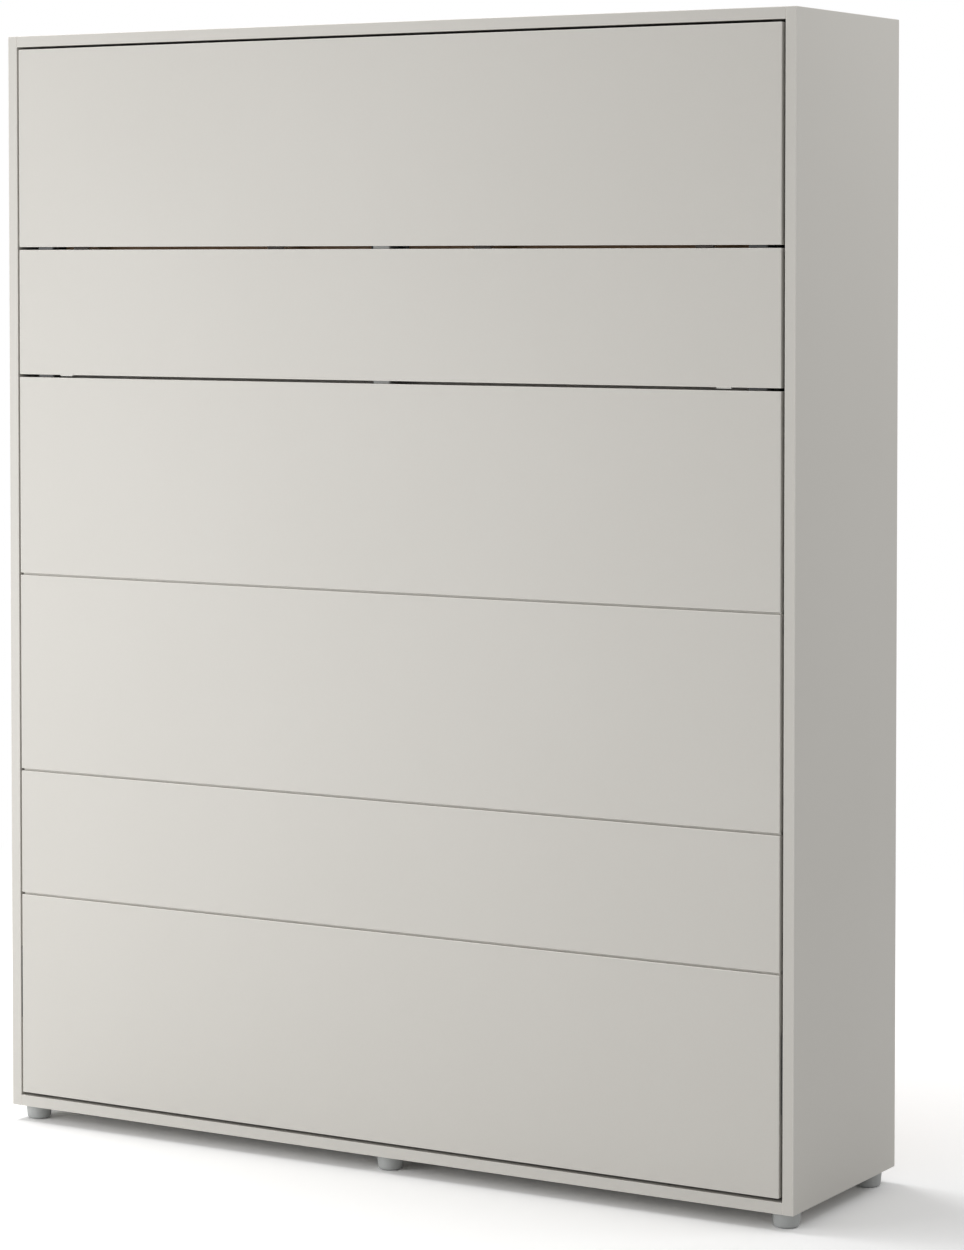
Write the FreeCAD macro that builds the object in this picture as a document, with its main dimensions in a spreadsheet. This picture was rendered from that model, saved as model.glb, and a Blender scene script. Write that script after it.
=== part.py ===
import FreeCAD, Part
import os
import Sketcher
from FreeCAD import Placement, Rotation, Vector

# A vertical wall bed, closed. A laminate carcass on six feet holds a steel bed frame that tips
# forward about two pivot pins low in its sides. Six boards cover the frame's underside and make
# the closed front. The second board from the top is hinged and hangs down as the leg when the bed
# is open. Two gas struts in the side channels carry the weight of the bed.
# X runs to the right, Y towards the wall and Z up. The origin is on the floor under the middle.

SIZES = {
    # Carcass of faced board
    "carcass_width": "1760",
    "carcass_depth": "440",
    "carcass_height": "2165",
    "panel_thickness": "22",
    "panel_edge_round": "1.4",
    "back_rail_height": "120",
    "back_sheet_thickness": "3",
    "back_sheet_inset": "10",
    "sheet_groove_depth": "8",
    "sheet_clearance": "0.2",
    "wall_hole_radius": "4",
    "wall_hole_spacing": "1200",
    # Dowels of the carcass
    "dowel_radius": "4",
    "dowel_long": "20",
    "dowel_short": "10",
    "dowel_clearance": "0.05",
    "dowel_spread": "150",
    "rail_dowel_spread": "30",
    "bore_overrun": "0.5",
    # Moulded feet and their screws
    "foot_height": "31",
    "foot_radius": "26.3",
    "foot_waist": "3",
    "foot_edge_round": "6.5",
    "foot_side_inset": "34",
    "foot_front_inset": "46",
    "foot_recess_radius": "7",
    "foot_recess_depth": "12",
    "foot_screw_radius": "2.4",
    "foot_screw_head_radius": "5",
    "foot_screw_head_height": "4",
    "foot_screw_bite": "14",
    # Front boards
    "front_proud": "2.5",
    "side_reveal": "6",
    "top_reveal": "5.3",
    "bottom_reveal": "7",
    "fold_gap": "5.8",
    "joint_gap": "4.4",
    "joint_depth": "8",
    "lap_height": "8",
    "lap_play": "0.2",
    "board_thickness": "16",
    "board_edge_round": "1.6",
    "board_one_share": "0.18773",
    "leg_board_height": "250",
    "board_three_share": "0.187315",
    "board_four_share": "0.186015",
    "board_five_share": "0.117215",
    # Steel frame of the bed
    "channel_width": "40",
    "rail_width": "40",
    "rail_depth": "30",
    "tube_wall": "2",
    "tube_corner_round": "4",
    "frame_inset": "8",
    "head_tube_drop": "78.1",
    "panel_screw_radius": "2.5",
    "panel_screw_head_radius": "5",
    "panel_screw_head_height": "3",
    "panel_screw_bite": "12",
    "panel_screw_inset": "60",
    "screw_clearance": "0.1",
    "screw_access_radius": "7",
    # Slats and their holders
    "slat_width": "53",
    "slat_thickness": "8",
    "slat_edge_round": "2.5",
    "slat_start": "108.8",
    "holder_length": "44",
    "holder_margin": "4",
    "holder_wall": "4",
    "holder_base": "2.5",
    "holder_edge_round": "1.2",
    "center_holder_half": "42",
    "slat_clearance": "0.2",
    # Mattress, its bows and straps
    "mattress_side_room": "18",
    "mattress_thickness": "200",
    "mattress_corner_round": "60",
    "mattress_edge_round": "30",
    "mattress_padding": "18",
    "soft_gap": "0.3",
    "bow_radius": "7",
    "bow_span": "230",
    "bow_reach": "120",
    "bow_bend": "45",
    "strap_width": "40",
    "strap_thickness": "2.5",
    # Hinge of the bed
    "lever_thickness": "4",
    "lever_rise": "70",
    "lever_margin": "1",
    "lever_eye_radius": "18",
    "lever_corner_round": "10",
    "pin_radius": "8",
    "pin_flange_radius": "13.5",
    "pin_flange_thickness": "5",
    "pin_end_gap": "1",
    "running_gap": "0.05",
    "side_play": "0.5",
    "bush_wall": "2.5",
    "bush_flange_thickness": "2",
    "boss_wall": "2.4",
    "hinge_plate_thickness": "3",
    "hinge_plate_width": "50",
    "hinge_plate_height": "150",
    "fitting_corner_round": "6",
    "fitting_screw_inset": "12",
    "fitting_screw_radius": "2.2",
    "fitting_screw_head_radius": "4.5",
    "fitting_screw_head_height": "2.4",
    "fitting_screw_bite": "12",
    # Gas struts
    "lever_back": "58",
    "lever_drop": "116",
    "anchor_back": "200",
    "anchor_rise": "600",
    "anchor_thickness": "3.5",
    "anchor_width": "46",
    "anchor_height": "90",
    "stud_radius": "5",
    "stud_head_radius": "8",
    "stud_head_height": "3",
    "eye_radius": "12",
    "eye_width": "16",
    "cylinder_radius": "11",
    "cylinder_wall": "1.6",
    "cylinder_length": "480",
    "cylinder_end": "12",
    "rod_radius": "5",
    "rod_engagement": "60",
    "open_pivot_gap": "0.4",
    # Stops of the closed bed
    "stop_reach": "78",
    "stop_depth": "50",
    "stop_height": "36",
    "stop_pad_radius": "13",
    "stop_pad_thickness": "3",
    "stop_gap": "0.3",
    "stop_dowel_spread": "9",
    # Fold-out leg
    "leg_clearance": "0.5",
    "leg_axis_inset": "2.6",
    "leg_hinge_inset": "154",
    "leg_hinge_width": "36",
    "leaf_depth": "10",
    "leaf_thickness": "1.2",
    "knuckle_radius": "2.4",
    "leg_pin_radius": "1.1",
    "knuckle_play": "0.3",
    "glide_length": "30",
    "glide_width": "10",
    "glide_height": "2.5",
    "glide_edge_round": "0.8",
    "glide_inset": "115",
}

# Counts of the slat rows: bays from the first slat to the fold line, slats above that line, and
# the bays that the two straps pass through.
SLAT_BAYS_BELOW_FOLD = 11
SLATS_ABOVE_FOLD = 2
SLAT_COUNT = SLAT_BAYS_BELOW_FOLD + SLATS_ABOVE_FOLD + 1
STRAP_BAYS = {"lower": 3, "upper": 10}

# The boards that meet in a lapped joint: each upper one with the board under it.
LAPPED_BOARDS = {"three": "four", "four": "five", "five": "six"}

# Places worked out from the sizes, each from those above it.
PLACES = {
    "half_width": "Size.carcass_width / 2",
    "inner_half": "half_width - Size.panel_thickness",
    "front": "-Size.carcass_depth / 2",
    "carcass_front": "front + Size.front_proud",
    "back": "Size.carcass_depth / 2",
    "carcass_top": "Size.foot_height + Size.carcass_height",
    "inside_floor": "Size.foot_height + Size.panel_thickness",
    "inside_ceiling": "carcass_top - Size.panel_thickness",
    "back_rail_front": "back - Size.panel_thickness",
    "top_rail_low": "inside_ceiling - Size.back_rail_height",
    "bottom_rail_top": "inside_floor + Size.back_rail_height",
    "middle_rail_low": "(top_rail_low + bottom_rail_top - Size.back_rail_height) / 2",
    "middle_rail_top": "middle_rail_low + Size.back_rail_height",
    "sheet_front": "back - Size.back_sheet_inset - Size.back_sheet_thickness",
    "foot_across": "half_width - Size.foot_side_inset",
    "foot_along": "back - Size.foot_front_inset",
    "board_half": "inner_half - Size.side_reveal",
    "front_low": "inside_floor + Size.bottom_reveal",
    "front_top": "inside_ceiling - Size.top_reveal",
    "front_height": "front_top - front_low",
    "board_one_low": "front_top - Size.board_one_share * front_height",
    "fold_line": "board_one_low - Size.fold_gap / 2",
    "leg_top": "board_one_low - Size.fold_gap",
    "leg_low": "leg_top - Size.leg_board_height",
    "board_three_top": "leg_low - Size.fold_gap",
    "board_three_low": "board_three_top - Size.board_three_share * front_height",
    "board_four_top": "board_three_low - Size.joint_gap",
    "board_four_low": "board_four_top - Size.board_four_share * front_height",
    "board_five_top": "board_four_low - Size.joint_gap",
    "board_five_low": "board_five_top - Size.board_five_share * front_height",
    "board_six_top": "board_five_low - Size.joint_gap",
    "rail_front": "front + Size.board_thickness",
    "rail_back": "rail_front + Size.rail_depth",
    "frame_half": "inner_half - Size.channel_width",
    "rail_inner": "frame_half - Size.rail_width",
    "rail_middle": "frame_half - Size.rail_width / 2",
    "frame_low": "front_low + Size.frame_inset",
    "frame_top": "front_top - Size.frame_inset",
    "foot_tube_top": "frame_low + Size.rail_width",
    "foot_bow_height": "frame_low + Size.rail_width / 2",
    "mattress_half": "frame_half - Size.mattress_side_room",
    "mattress_low": "foot_bow_height + Size.bow_radius + Size.soft_gap",
    "head_tube_low": "frame_top - Size.head_tube_drop",
    "head_bow_height": "head_tube_low + Size.rail_width / 2",
    "mattress_top": "head_bow_height - Size.bow_radius - Size.soft_gap",
    "slat_front": "rail_back + Size.holder_base",
    "holder_height": "Size.slat_thickness + 2 * Size.holder_base",
    "holder_width": "Size.slat_width + 2 * Size.holder_wall",
    "mattress_front": "rail_back + holder_height + Size.soft_gap",
    "mattress_back": "mattress_front + Size.mattress_thickness",
    "first_slat": "frame_low + Size.slat_start",
    "slat_pitch": f"(fold_line - first_slat) / {SLAT_BAYS_BELOW_FOLD}",
    "slat_rise": f"slat_pitch * {SLAT_COUNT - 1}",
    "holder_outer": "frame_half - Size.holder_margin",
    "slat_outer": "holder_outer - Size.holder_wall",
    "slat_inner": "Size.holder_wall / 2",
    "leg_hinge_spread": "board_half - Size.leg_hinge_inset",
    "leg_axis": "front + Size.leg_axis_inset",
    "pivot_depth": "rail_front + Size.rail_depth / 2",
    "leg_reach": "Size.fold_gap / 2 + Size.leg_board_height + Size.glide_height",
    "pivot_height": "pivot_depth - leg_axis + leg_reach",
    "lever_outer": "frame_half + Size.lever_thickness",
    "pin_flange_outer": "lever_outer + Size.pin_flange_thickness",
    "bush_inner_end": "pin_flange_outer + Size.side_play",
    "boss_end": "bush_inner_end + Size.bush_flange_thickness",
    "bush_radius": "Size.pin_radius + Size.running_gap + Size.bush_wall",
    "boss_bore": "bush_radius + Size.running_gap",
    "boss_radius": "boss_bore + Size.boss_wall",
    "strut_plane": "inner_half - Size.channel_width / 2",
    "lever_depth": "pivot_depth + Size.lever_back",
    "lever_height": "pivot_height - Size.lever_drop",
    "anchor_depth": "pivot_depth + Size.anchor_back",
    "anchor_place": "pivot_height + Size.anchor_rise",
    "strut_back": "anchor_depth - lever_depth",
    "strut_rise": "anchor_place - lever_height",
    "strut_span": "sqrt(strut_back * strut_back + strut_rise * strut_rise)",
    "strut_tilt": "atan(strut_back / strut_rise) / 1 deg",
    "rod_length": "strut_span - Size.cylinder_length + Size.rod_engagement",
    "eye_far": "inner_half - strut_plane + Size.eye_width / 2 + Size.side_play",
    "stop_front": "rail_back + Size.stop_gap + Size.stop_pad_thickness",
    "stop_low": "frame_top - Size.stop_height",
    "stop_middle": "stop_low + Size.stop_height / 2",
    "knuckle_length": "Size.leg_hinge_width / 3",
    "leaf_front": "leg_axis + Size.knuckle_radius + Size.knuckle_play",
    "leg_bore_radius": "Size.leg_pin_radius + Size.running_gap",
    "glide_across": "board_half - Size.glide_inset",
    "leg_middle": "front + (Size.board_thickness - Size.leg_clearance) / 2",
}

SIDES = {"left": -1, "right": 1}
ALONG_X = Vector(1, 0, 0)
ALONG_Y = Vector(0, 1, 0)
ALONG_Z = Vector(0, 0, 1)
PARALLEL_SHARE = 0.999

doc = FreeCAD.newDocument("WallBed")
nodes = []


def fill_sheet(name, cells, lead):
    """Write a table of cells to a sheet, one alias to a row."""
    sheet = doc.addObject("Spreadsheet::Sheet", name)
    for row, (alias, text) in enumerate(cells.items(), start=1):
        sheet.set(f"A{row}", alias)
        sheet.set(f"B{row}", lead + text)
        sheet.setAlias(f"B{row}", alias)
    return sheet


sizes = fill_sheet("Size", SIZES, "")
places = fill_sheet("Place", PLACES, "=")
doc.recompute()


def value(formula):
    """What a formula on the two sheets comes to."""
    found = sizes.evalExpression(formula)
    return float(getattr(found, "Value", found))


def at(x, y, z):
    """A point from three formulas."""
    return Vector(value(x), value(y), value(z))


def keep(item, label):
    """Name a finished sub-part and put it on the list of those that are written out."""
    item.Label = label
    nodes.append(item)
    return item


def seat(item, x, y, z):
    """Bind the place of an object's own origin to three formulas."""
    for axis, formula in zip("xyz", (x, y, z)):
        item.setExpression(f"Placement.Base.{axis}", formula)


def low_x(side, near, far):
    """The lower X of something that lies between two distances from the middle, on one side."""
    return near if side > 0 else f"-({far})"


# Bodies, sketches and features


def new_body(name):
    return doc.addObject("PartDesign::Body", name)


def new_sketch(owner, role):
    """An empty sketch on one of the body's own planes."""
    sketch = owner.newObject("Sketcher::SketchObject", owner.Name + "_sketch")
    plane = next(item for item in owner.Origin.OriginFeatures if item.Role == role)
    sketch.AttachmentSupport = [(plane, "")]
    sketch.MapMode = "FlatFace"
    return sketch


def hold(sketch, constraint, formula):
    """Add a dimension to a sketch and bind it to a formula."""
    index = sketch.addConstraint(constraint)
    sketch.setExpression(f"Constraints[{index}]", formula)


def hold_point(sketch, line, end, x, y):
    """Hold a sketch point at two formulas, both measured from the sketch's origin. The sketch's own
    level and upright lines are its geometry -1 and -2."""
    axes = (("DistanceX", -2, x), ("DistanceY", -1, y))
    for kind, axis, formula in axes:
        if formula == "0":
            sketch.addConstraint(Sketcher.Constraint("PointOnObject", line, end, axis))
        else:
            distance = Sketcher.Constraint(kind, -1, 1, line, end, value(formula))
            hold(sketch, distance, formula)


def outline(sketch, corners):
    """Straight lines through corners that are given as pairs of formulas."""
    first = sketch.GeometryCount
    count = len(corners)
    points = [at(x, y, "0") for x, y in corners]
    for index in range(count):
        sketch.addGeometry(Part.LineSegment(points[index], points[(index + 1) % count]))
    for index in range(count):
        joint = (first + index, 2, first + (index + 1) % count, 1)
        sketch.addConstraint(Sketcher.Constraint("Coincident", *joint))
    for index, (x, y) in enumerate(corners):
        hold_point(sketch, first + index, 1, x, y)
    return sketch


def rectangle(sketch, width, height):
    """A rectangle with one corner on the sketch's origin."""
    return outline(sketch, [("0", "0"), (width, "0"), (width, height), ("0", height)])


def middle_rectangle(sketch, width, height):
    """A rectangle whose middle is the sketch's origin."""
    across = value(width) / 2
    up = value(height) / 2
    signs = ((-1, -1), (1, -1), (1, 1), (-1, 1))
    points = [Vector(across * sign_x, up * sign_y, 0) for sign_x, sign_y in signs]
    for index in range(4):
        sketch.addGeometry(Part.LineSegment(points[index], points[(index + 1) % 4]))
    for index in range(4):
        sketch.addConstraint(Sketcher.Constraint("Coincident", index, 2, (index + 1) % 4, 1))
        level = "Horizontal" if index % 2 == 0 else "Vertical"
        sketch.addConstraint(Sketcher.Constraint(level, index))
    sketch.addConstraint(Sketcher.Constraint("Symmetric", 0, 1, 2, 1, -1, 1))
    hold(sketch, Sketcher.Constraint("DistanceX", 0, 1, 0, 2, value(width)), width)
    hold(sketch, Sketcher.Constraint("DistanceY", 1, 1, 1, 2, value(height)), height)
    return sketch


def circle(sketch, radius):
    """A circle about the sketch's origin."""
    size = value(radius)
    index = sketch.addGeometry(Part.Circle(Vector(0, 0, 0), ALONG_Z, size))
    sketch.addConstraint(Sketcher.Constraint("Coincident", index, 3, -1, 1))
    hold(sketch, Sketcher.Constraint("Radius", index, size), radius)
    return sketch


def pad(owner, sketch, length, backwards=False, symmetric=False):
    """Raise a sketch to a length along its normal."""
    feature = owner.newObject("PartDesign::Pad", owner.Name + "_pad")
    feature.Profile = sketch
    feature.Reversed = backwards
    if symmetric:
        feature.SideType = "Symmetric"
    feature.setExpression("Length", length)
    return feature


def pierce(owner, sketch):
    """Cut a sketch right through the body, both ways."""
    doc.recompute()
    before = owner.Shape.Volume
    feature = owner.newObject("PartDesign::Pocket", owner.Name + "_pocket")
    feature.Profile = sketch
    feature.SideType = "Symmetric"
    feature.Type = "ThroughAll"
    doc.recompute()
    if not owner.Shape.Volume < before:
        raise ValueError(f"the cut in {owner.Name} takes nothing away")
    return feature


def revolve(owner, sketch):
    """Turn a sketch right round its vertical axis."""
    feature = owner.newObject("PartDesign::Revolution", owner.Name + "_revolution")
    feature.Profile = sketch
    feature.ReferenceAxis = (sketch, ["V_Axis"])
    return feature


def runs_along(edge, axis):
    """Whether an edge is straight and parallel to an axis."""
    if not isinstance(edge.Curve, Part.Line):
        return False
    return abs(edge.Curve.Direction.dot(axis)) > PARALLEL_SHARE


def ease(owner, feature, radius, chosen=None):
    """Round the edges of a feature: all of them, or those that a test picks."""
    doc.recompute()
    numbered = enumerate(feature.Shape.Edges, start=1)
    names = [f"Edge{number}" for number, edge in numbered if chosen is None or chosen(edge)]
    fillet = owner.newObject("PartDesign::Fillet", owner.Name + "_fillet")
    fillet.Base = (feature, names)
    fillet.setExpression("Radius", radius)
    return fillet


def repeat(owner, distance, count):
    """Repeat a body's solid upwards as separate solids, the last one at a distance."""
    pattern = owner.newObject("PartDesign::LinearPattern", owner.Name + "_pattern")
    pattern.TransformMode = "Whole shape"
    pattern.Direction = (next(i for i in owner.Origin.OriginFeatures if i.Role == "Z_Axis"), [""])
    pattern.setExpression("Length", distance)
    pattern.Occurrences = count
    owner.Tip = pattern
    return pattern


def slab(name, corner, extent, edge_round=None):
    """A board with its low corner at a point, its sizes along X, Y and Z, and eased edges."""
    owner = new_body(name)
    length, depth, height = extent
    feature = pad(owner, rectangle(new_sketch(owner, "XY_Plane"), length, depth), height)
    if edge_round:
        ease(owner, feature, edge_round)
    seat(owner, *corner)
    return owner


def turned(name, profile, place, direction):
    """A turned piece: its profile in radius and height, its axis along a direction."""
    owner = new_body(name)
    revolve(owner, outline(new_sketch(owner, "XZ_Plane"), profile))
    owner.Placement = Placement(Vector(0, 0, 0), Rotation(ALONG_Z, direction))
    seat(owner, *place)
    return owner


def block(name, corner, extent):
    """A plain box from its low corner."""
    item = doc.addObject("Part::Box", name)
    for size, formula in zip(("Length", "Width", "Height"), extent):
        item.setExpression(size, formula)
    seat(item, *corner)
    return item


def bar(name, start, radius, length):
    """A plain round bar along X from its left end."""
    item = doc.addObject("Part::Cylinder", name)
    item.Placement = Placement(Vector(0, 0, 0), Rotation(ALONG_Z, ALONG_X))
    item.setExpression("Radius", radius)
    item.setExpression("Height", length)
    seat(item, *start)
    return item


def together(name, items):
    """Several solids as one object, still apart."""
    item = doc.addObject("Part::Compound", name)
    item.Links = items
    return item


def joined(name, items):
    """Several solids fused where they meet."""
    item = doc.addObject("Part::MultiFuse", name)
    item.Shapes = items
    return item


def cut(name, base, tool):
    """One object less another."""
    item = doc.addObject("Part::Cut", name)
    item.Base = base
    item.Tool = tool
    return item


def copies(name, shapes):
    """A group of like small solids, worked out from the sheets."""
    item = doc.addObject("Part::Feature", name)
    item.Shape = Part.Compound(shapes)
    return item


# Carcass


def dowel_rows():
    """Depth and height of each dowel at the inner face of a side panel."""
    rows = []
    panel_middle = "Size.panel_thickness / 2"
    for height in (f"Place.inside_ceiling + {panel_middle}", f"Size.foot_height + {panel_middle}"):
        rows += [("-Size.dowel_spread", height), ("0", height), ("Size.dowel_spread", height)]
    rail_depth = f"Place.back - {panel_middle}"
    for low in ("Place.top_rail_low", "Place.middle_rail_low", "Place.inside_floor"):
        middle = f"{low} + Size.back_rail_height / 2"
        rows += [(rail_depth, f"{middle} + {sign} * Size.rail_dowel_spread") for sign in (-1, 1)]
    stop_depth = "Place.stop_front + Size.stop_depth / 2"
    for sign in (-1, 1):
        rows.append((stop_depth, f"Place.stop_middle + {sign} * Size.stop_dowel_spread"))
    return rows


def dowels(name, extra_radius, overrun):
    """Dowels across the inner faces of both sides, or the bores that hold them."""
    near = "Place.inner_half - Size.dowel_long"
    far = "Place.inner_half + Size.dowel_short"
    radius = value("Size.dowel_radius") + extra_radius
    length = value("Size.dowel_long + Size.dowel_short") + 2 * overrun
    made = []
    for side in SIDES.values():
        for depth, height in dowel_rows():
            start = at(low_x(side, near, far), depth, height) - ALONG_X * overrun
            made.append(Part.makeCylinder(radius, length, start, ALONG_X))
    return copies(name, made)


def foot_places():
    """Name and place of each foot, seen from the front."""
    rows = {"front": "-Place.foot_along", "back": "Place.foot_along"}
    columns = {"left": "-Place.foot_across", "middle": "0", "right": "Place.foot_across"}
    return {f"{row}_{column}": (x, y) for row, y in rows.items() for column, x in columns.items()}


def foot_screw_bores():
    """Blind bores in the bottom panel for the foot screws."""
    radius = value("Size.foot_screw_radius + Size.screw_clearance")
    length = value("Size.foot_screw_bite + 2 * Size.bore_overrun")
    low = "Size.foot_height - Size.bore_overrun"
    starts = [at(x, y, low) for x, y in foot_places().values()]
    return copies("foot_screw_bores", [Part.makeCylinder(radius, length, i) for i in starts])


def wall_holes():
    """Two holes through the top back rail, for screws into the wall."""
    radius = value("Size.wall_hole_radius")
    length = value("Size.panel_thickness + 2 * Size.bore_overrun")
    depth = "Place.back_rail_front - Size.bore_overrun"
    height = "Place.top_rail_low + Size.back_rail_height / 2"
    spread = "Size.wall_hole_spacing / 2"
    starts = [at(f"{sign} * {spread}", depth, height) for sign in SIDES.values()]
    return copies("wall_holes", [Part.makeCylinder(radius, length, i, ALONG_Y) for i in starts])


def fitting_screw_places():
    """Depth and height of each screw in a channel, with the thickness of what it holds."""
    made = []
    across = "(Size.hinge_plate_width / 2 - Size.fitting_screw_inset)"
    up = "(Size.hinge_plate_height / 2 - Size.fitting_screw_inset)"
    for depth_sign in (-1, 1):
        for height_sign in (-1, 1):
            depth = f"Place.pivot_depth + {depth_sign} * {across}"
            height = f"Place.pivot_height + {height_sign} * {up}"
            made.append((depth, height, "Size.hinge_plate_thickness"))
    up = "(Size.anchor_height / 2 - Size.fitting_screw_inset)"
    for sign in (-1, 1):
        made.append(("Place.anchor_depth", f"Place.anchor_place + {sign} * {up}", "Size.anchor_thickness"))
    return made


def fitting_screws(name, clearance, overrun):
    """Countersunk screws that hold the channel fittings to the side panels, or their bores."""
    head = value("Size.fitting_screw_head_radius") + clearance
    shank = value("Size.fitting_screw_radius") + clearance
    sink = value("Size.fitting_screw_head_height")
    made = []
    for side in SIDES.values():
        outwards = ALONG_X * side
        for depth, height, thickness in fitting_screw_places():
            face = at(f"{side} * (Place.inner_half - {thickness})", depth, height)
            length = value(f"{thickness} + Size.fitting_screw_bite") + overrun
            cone = Part.makeCone(head, shank, sink, face, outwards)
            made.append(cone.fuse(Part.makeCylinder(shank, length, face, outwards)).removeSplitter())
    return copies(name, made)


def sheet_space(name, low, top, clearance):
    """A back sheet that reaches into the grooves round it, or the slot that takes it."""
    half = "Place.inner_half + Size.sheet_groove_depth"
    corner = (f"-({half} + {clearance})", f"Place.sheet_front - {clearance}",
              f"{low} - Size.sheet_groove_depth - {clearance}")
    extent = (f"2 * ({half} + {clearance})", f"Size.back_sheet_thickness + 2 * {clearance}",
              f"{top} - ({low}) + 2 * (Size.sheet_groove_depth + {clearance})")
    return block(name, corner, extent)


def back_sheets():
    """Two thin sheets in grooves between the back rails, and their slots."""
    bays = {
        "upper": ("Place.middle_rail_top", "Place.top_rail_low"),
        "lower": ("Place.bottom_rail_top", "Place.middle_rail_low"),
    }
    slots = []
    for name, (low, top) in bays.items():
        short = "(Size.sheet_groove_depth - Size.sheet_clearance)"
        sheet_low = f"{low} - {short} + Size.sheet_groove_depth"
        sheet_top = f"{top} + {short} - Size.sheet_groove_depth"
        sheet = sheet_space(f"back_sheet_{name}", sheet_low, sheet_top, "0")
        keep(sheet, f"back_sheet_{name}")
        slots.append(sheet_space(f"sheet_slot_{name}", low, top, "Size.sheet_clearance"))
    return slots


def carcass():
    """Sides, top, bottom and back rails, with every bore and groove in them."""
    bores = [
        dowels("dowel_bores", value("Size.dowel_clearance"), value("Size.bore_overrun")),
        foot_screw_bores(),
        wall_holes(),
        fitting_screws("fitting_bores", value("Size.screw_clearance"), value("Size.bore_overrun")),
    ]
    tools = together("carcass_cuts", bores + back_sheets())
    keep(dowels("carcass_dowels", 0, 0), "carcass_dowels")
    keep(fitting_screws("hardware_screws", 0, 0), "hardware_screws")
    thick = "Size.panel_thickness"
    depth = "Size.carcass_depth - Size.front_proud"
    inside = "2 * Place.inner_half"
    low = "-Place.inner_half"
    rail = (inside, thick, "Size.back_rail_height")
    panels = {
        "top_panel": ((low, "Place.carcass_front", "Place.inside_ceiling"), (inside, depth, thick)),
        "bottom_panel": ((low, "Place.carcass_front", "Size.foot_height"), (inside, depth, thick)),
        "back_rail_top": ((low, "Place.back_rail_front", "Place.top_rail_low"), rail),
        "back_rail_middle": ((low, "Place.back_rail_front", "Place.middle_rail_low"), rail),
        "back_rail_bottom": ((low, "Place.back_rail_front", "Place.inside_floor"), rail),
    }
    for name, side in SIDES.items():
        outer = low_x(side, "Place.inner_half", "Place.half_width")
        corner = (outer, "Place.carcass_front", "Size.foot_height")
        panels[f"side_panel_{name}"] = (corner, (thick, depth, "Size.carcass_height"))
    for name, (corner, extent) in panels.items():
        blank = slab(f"{name}_blank", corner, extent, "Size.panel_edge_round")
        keep(cut(name, blank, tools), name)
    for name, side in SIDES.items():
        near = "Place.inner_half - Size.stop_reach"
        corner = (low_x(side, near, "Place.inner_half"), "Place.stop_front", "Place.stop_low")
        extent = ("Size.stop_reach", "Size.stop_depth", "Size.stop_height")
        blank = slab(f"stop_block_{name}_blank", corner, extent, "Size.panel_edge_round")
        keep(cut(f"stop_block_{name}", blank, tools), f"stop_block_{name}")
    return tools


def feet():
    """Round moulded feet, wider at the top, with a recess for the screw in each."""
    low = "Size.foot_radius - Size.foot_waist"
    bore = "Size.foot_screw_radius + Size.screw_clearance"
    profile = [
        ("Size.foot_recess_radius", "0"),
        (low, "0"),
        ("Size.foot_radius", "Size.foot_height"),
        (bore, "Size.foot_height"),
        (bore, "Size.foot_recess_depth"),
        ("Size.foot_recess_radius", "Size.foot_recess_depth"),
    ]
    wide = value(low)

    def is_lower_rim(edge):
        """The outer circle at the foot's underside."""
        if not isinstance(edge.Curve, Part.Circle):
            return False
        return abs(edge.Curve.Radius - wide) < value("Size.running_gap")

    for name, (x, y) in foot_places().items():
        foot = turned(f"foot_{name}", profile, (x, y, "0"), ALONG_Z)
        ease(foot, foot.Tip, "Size.foot_edge_round", is_lower_rim)
        keep(foot, f"foot_{name}")


def foot_screws():
    """Pan-head screws from the recess of each foot up into the bottom panel."""
    head = value("Size.foot_screw_head_radius")
    head_height = value("Size.foot_screw_head_height")
    shank = value("Size.foot_screw_radius")
    length = value("Size.foot_height - Size.foot_recess_depth + Size.foot_screw_bite")
    made = []
    for x, y in foot_places().values():
        seat_point = at(x, y, "Size.foot_recess_depth")
        cap = Part.makeCylinder(head, head_height, seat_point - ALONG_Z * head_height)
        made.append(cap.fuse(Part.makeCylinder(shank, length, seat_point)))
    keep(copies("foot_screws", made), "foot_screws")


# Fittings in the side channels. Each is made with its own X axis pointing away from the side
# panel, and the right-hand one is turned half round.


def channel_body(name, side, depth, height):
    owner = new_body(name)
    owner.Placement = Placement(Vector(0, 0, 0), Rotation(ALONG_X, ALONG_X * -side))
    seat(owner, f"{side} * Place.inner_half", depth, height)
    return owner


def base_plate(owner, width, height, thickness):
    """A plate with rounded corners, its middle on the body's X axis."""
    plate = pad(owner, middle_rectangle(new_sketch(owner, "YZ_Plane"), width, height), thickness)
    return ease(owner, plate, "Size.fitting_corner_round", lambda edge: runs_along(edge, ALONG_X))


def hinge_plate(name, side, tools):
    """A plate with a round boss, which holds the bush of the bed's pivot."""
    blank = channel_body(f"{name}_blank", side, "Place.pivot_depth", "Place.pivot_height")
    base_plate(blank, "Size.hinge_plate_width", "Size.hinge_plate_height", "Size.hinge_plate_thickness")
    boss = circle(new_sketch(blank, "YZ_Plane"), "Place.boss_radius")
    pad(blank, boss, "Place.inner_half - Place.boss_end")
    pierce(blank, circle(new_sketch(blank, "YZ_Plane"), "Place.boss_bore"))
    keep(cut(name, blank, tools), name)


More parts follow.
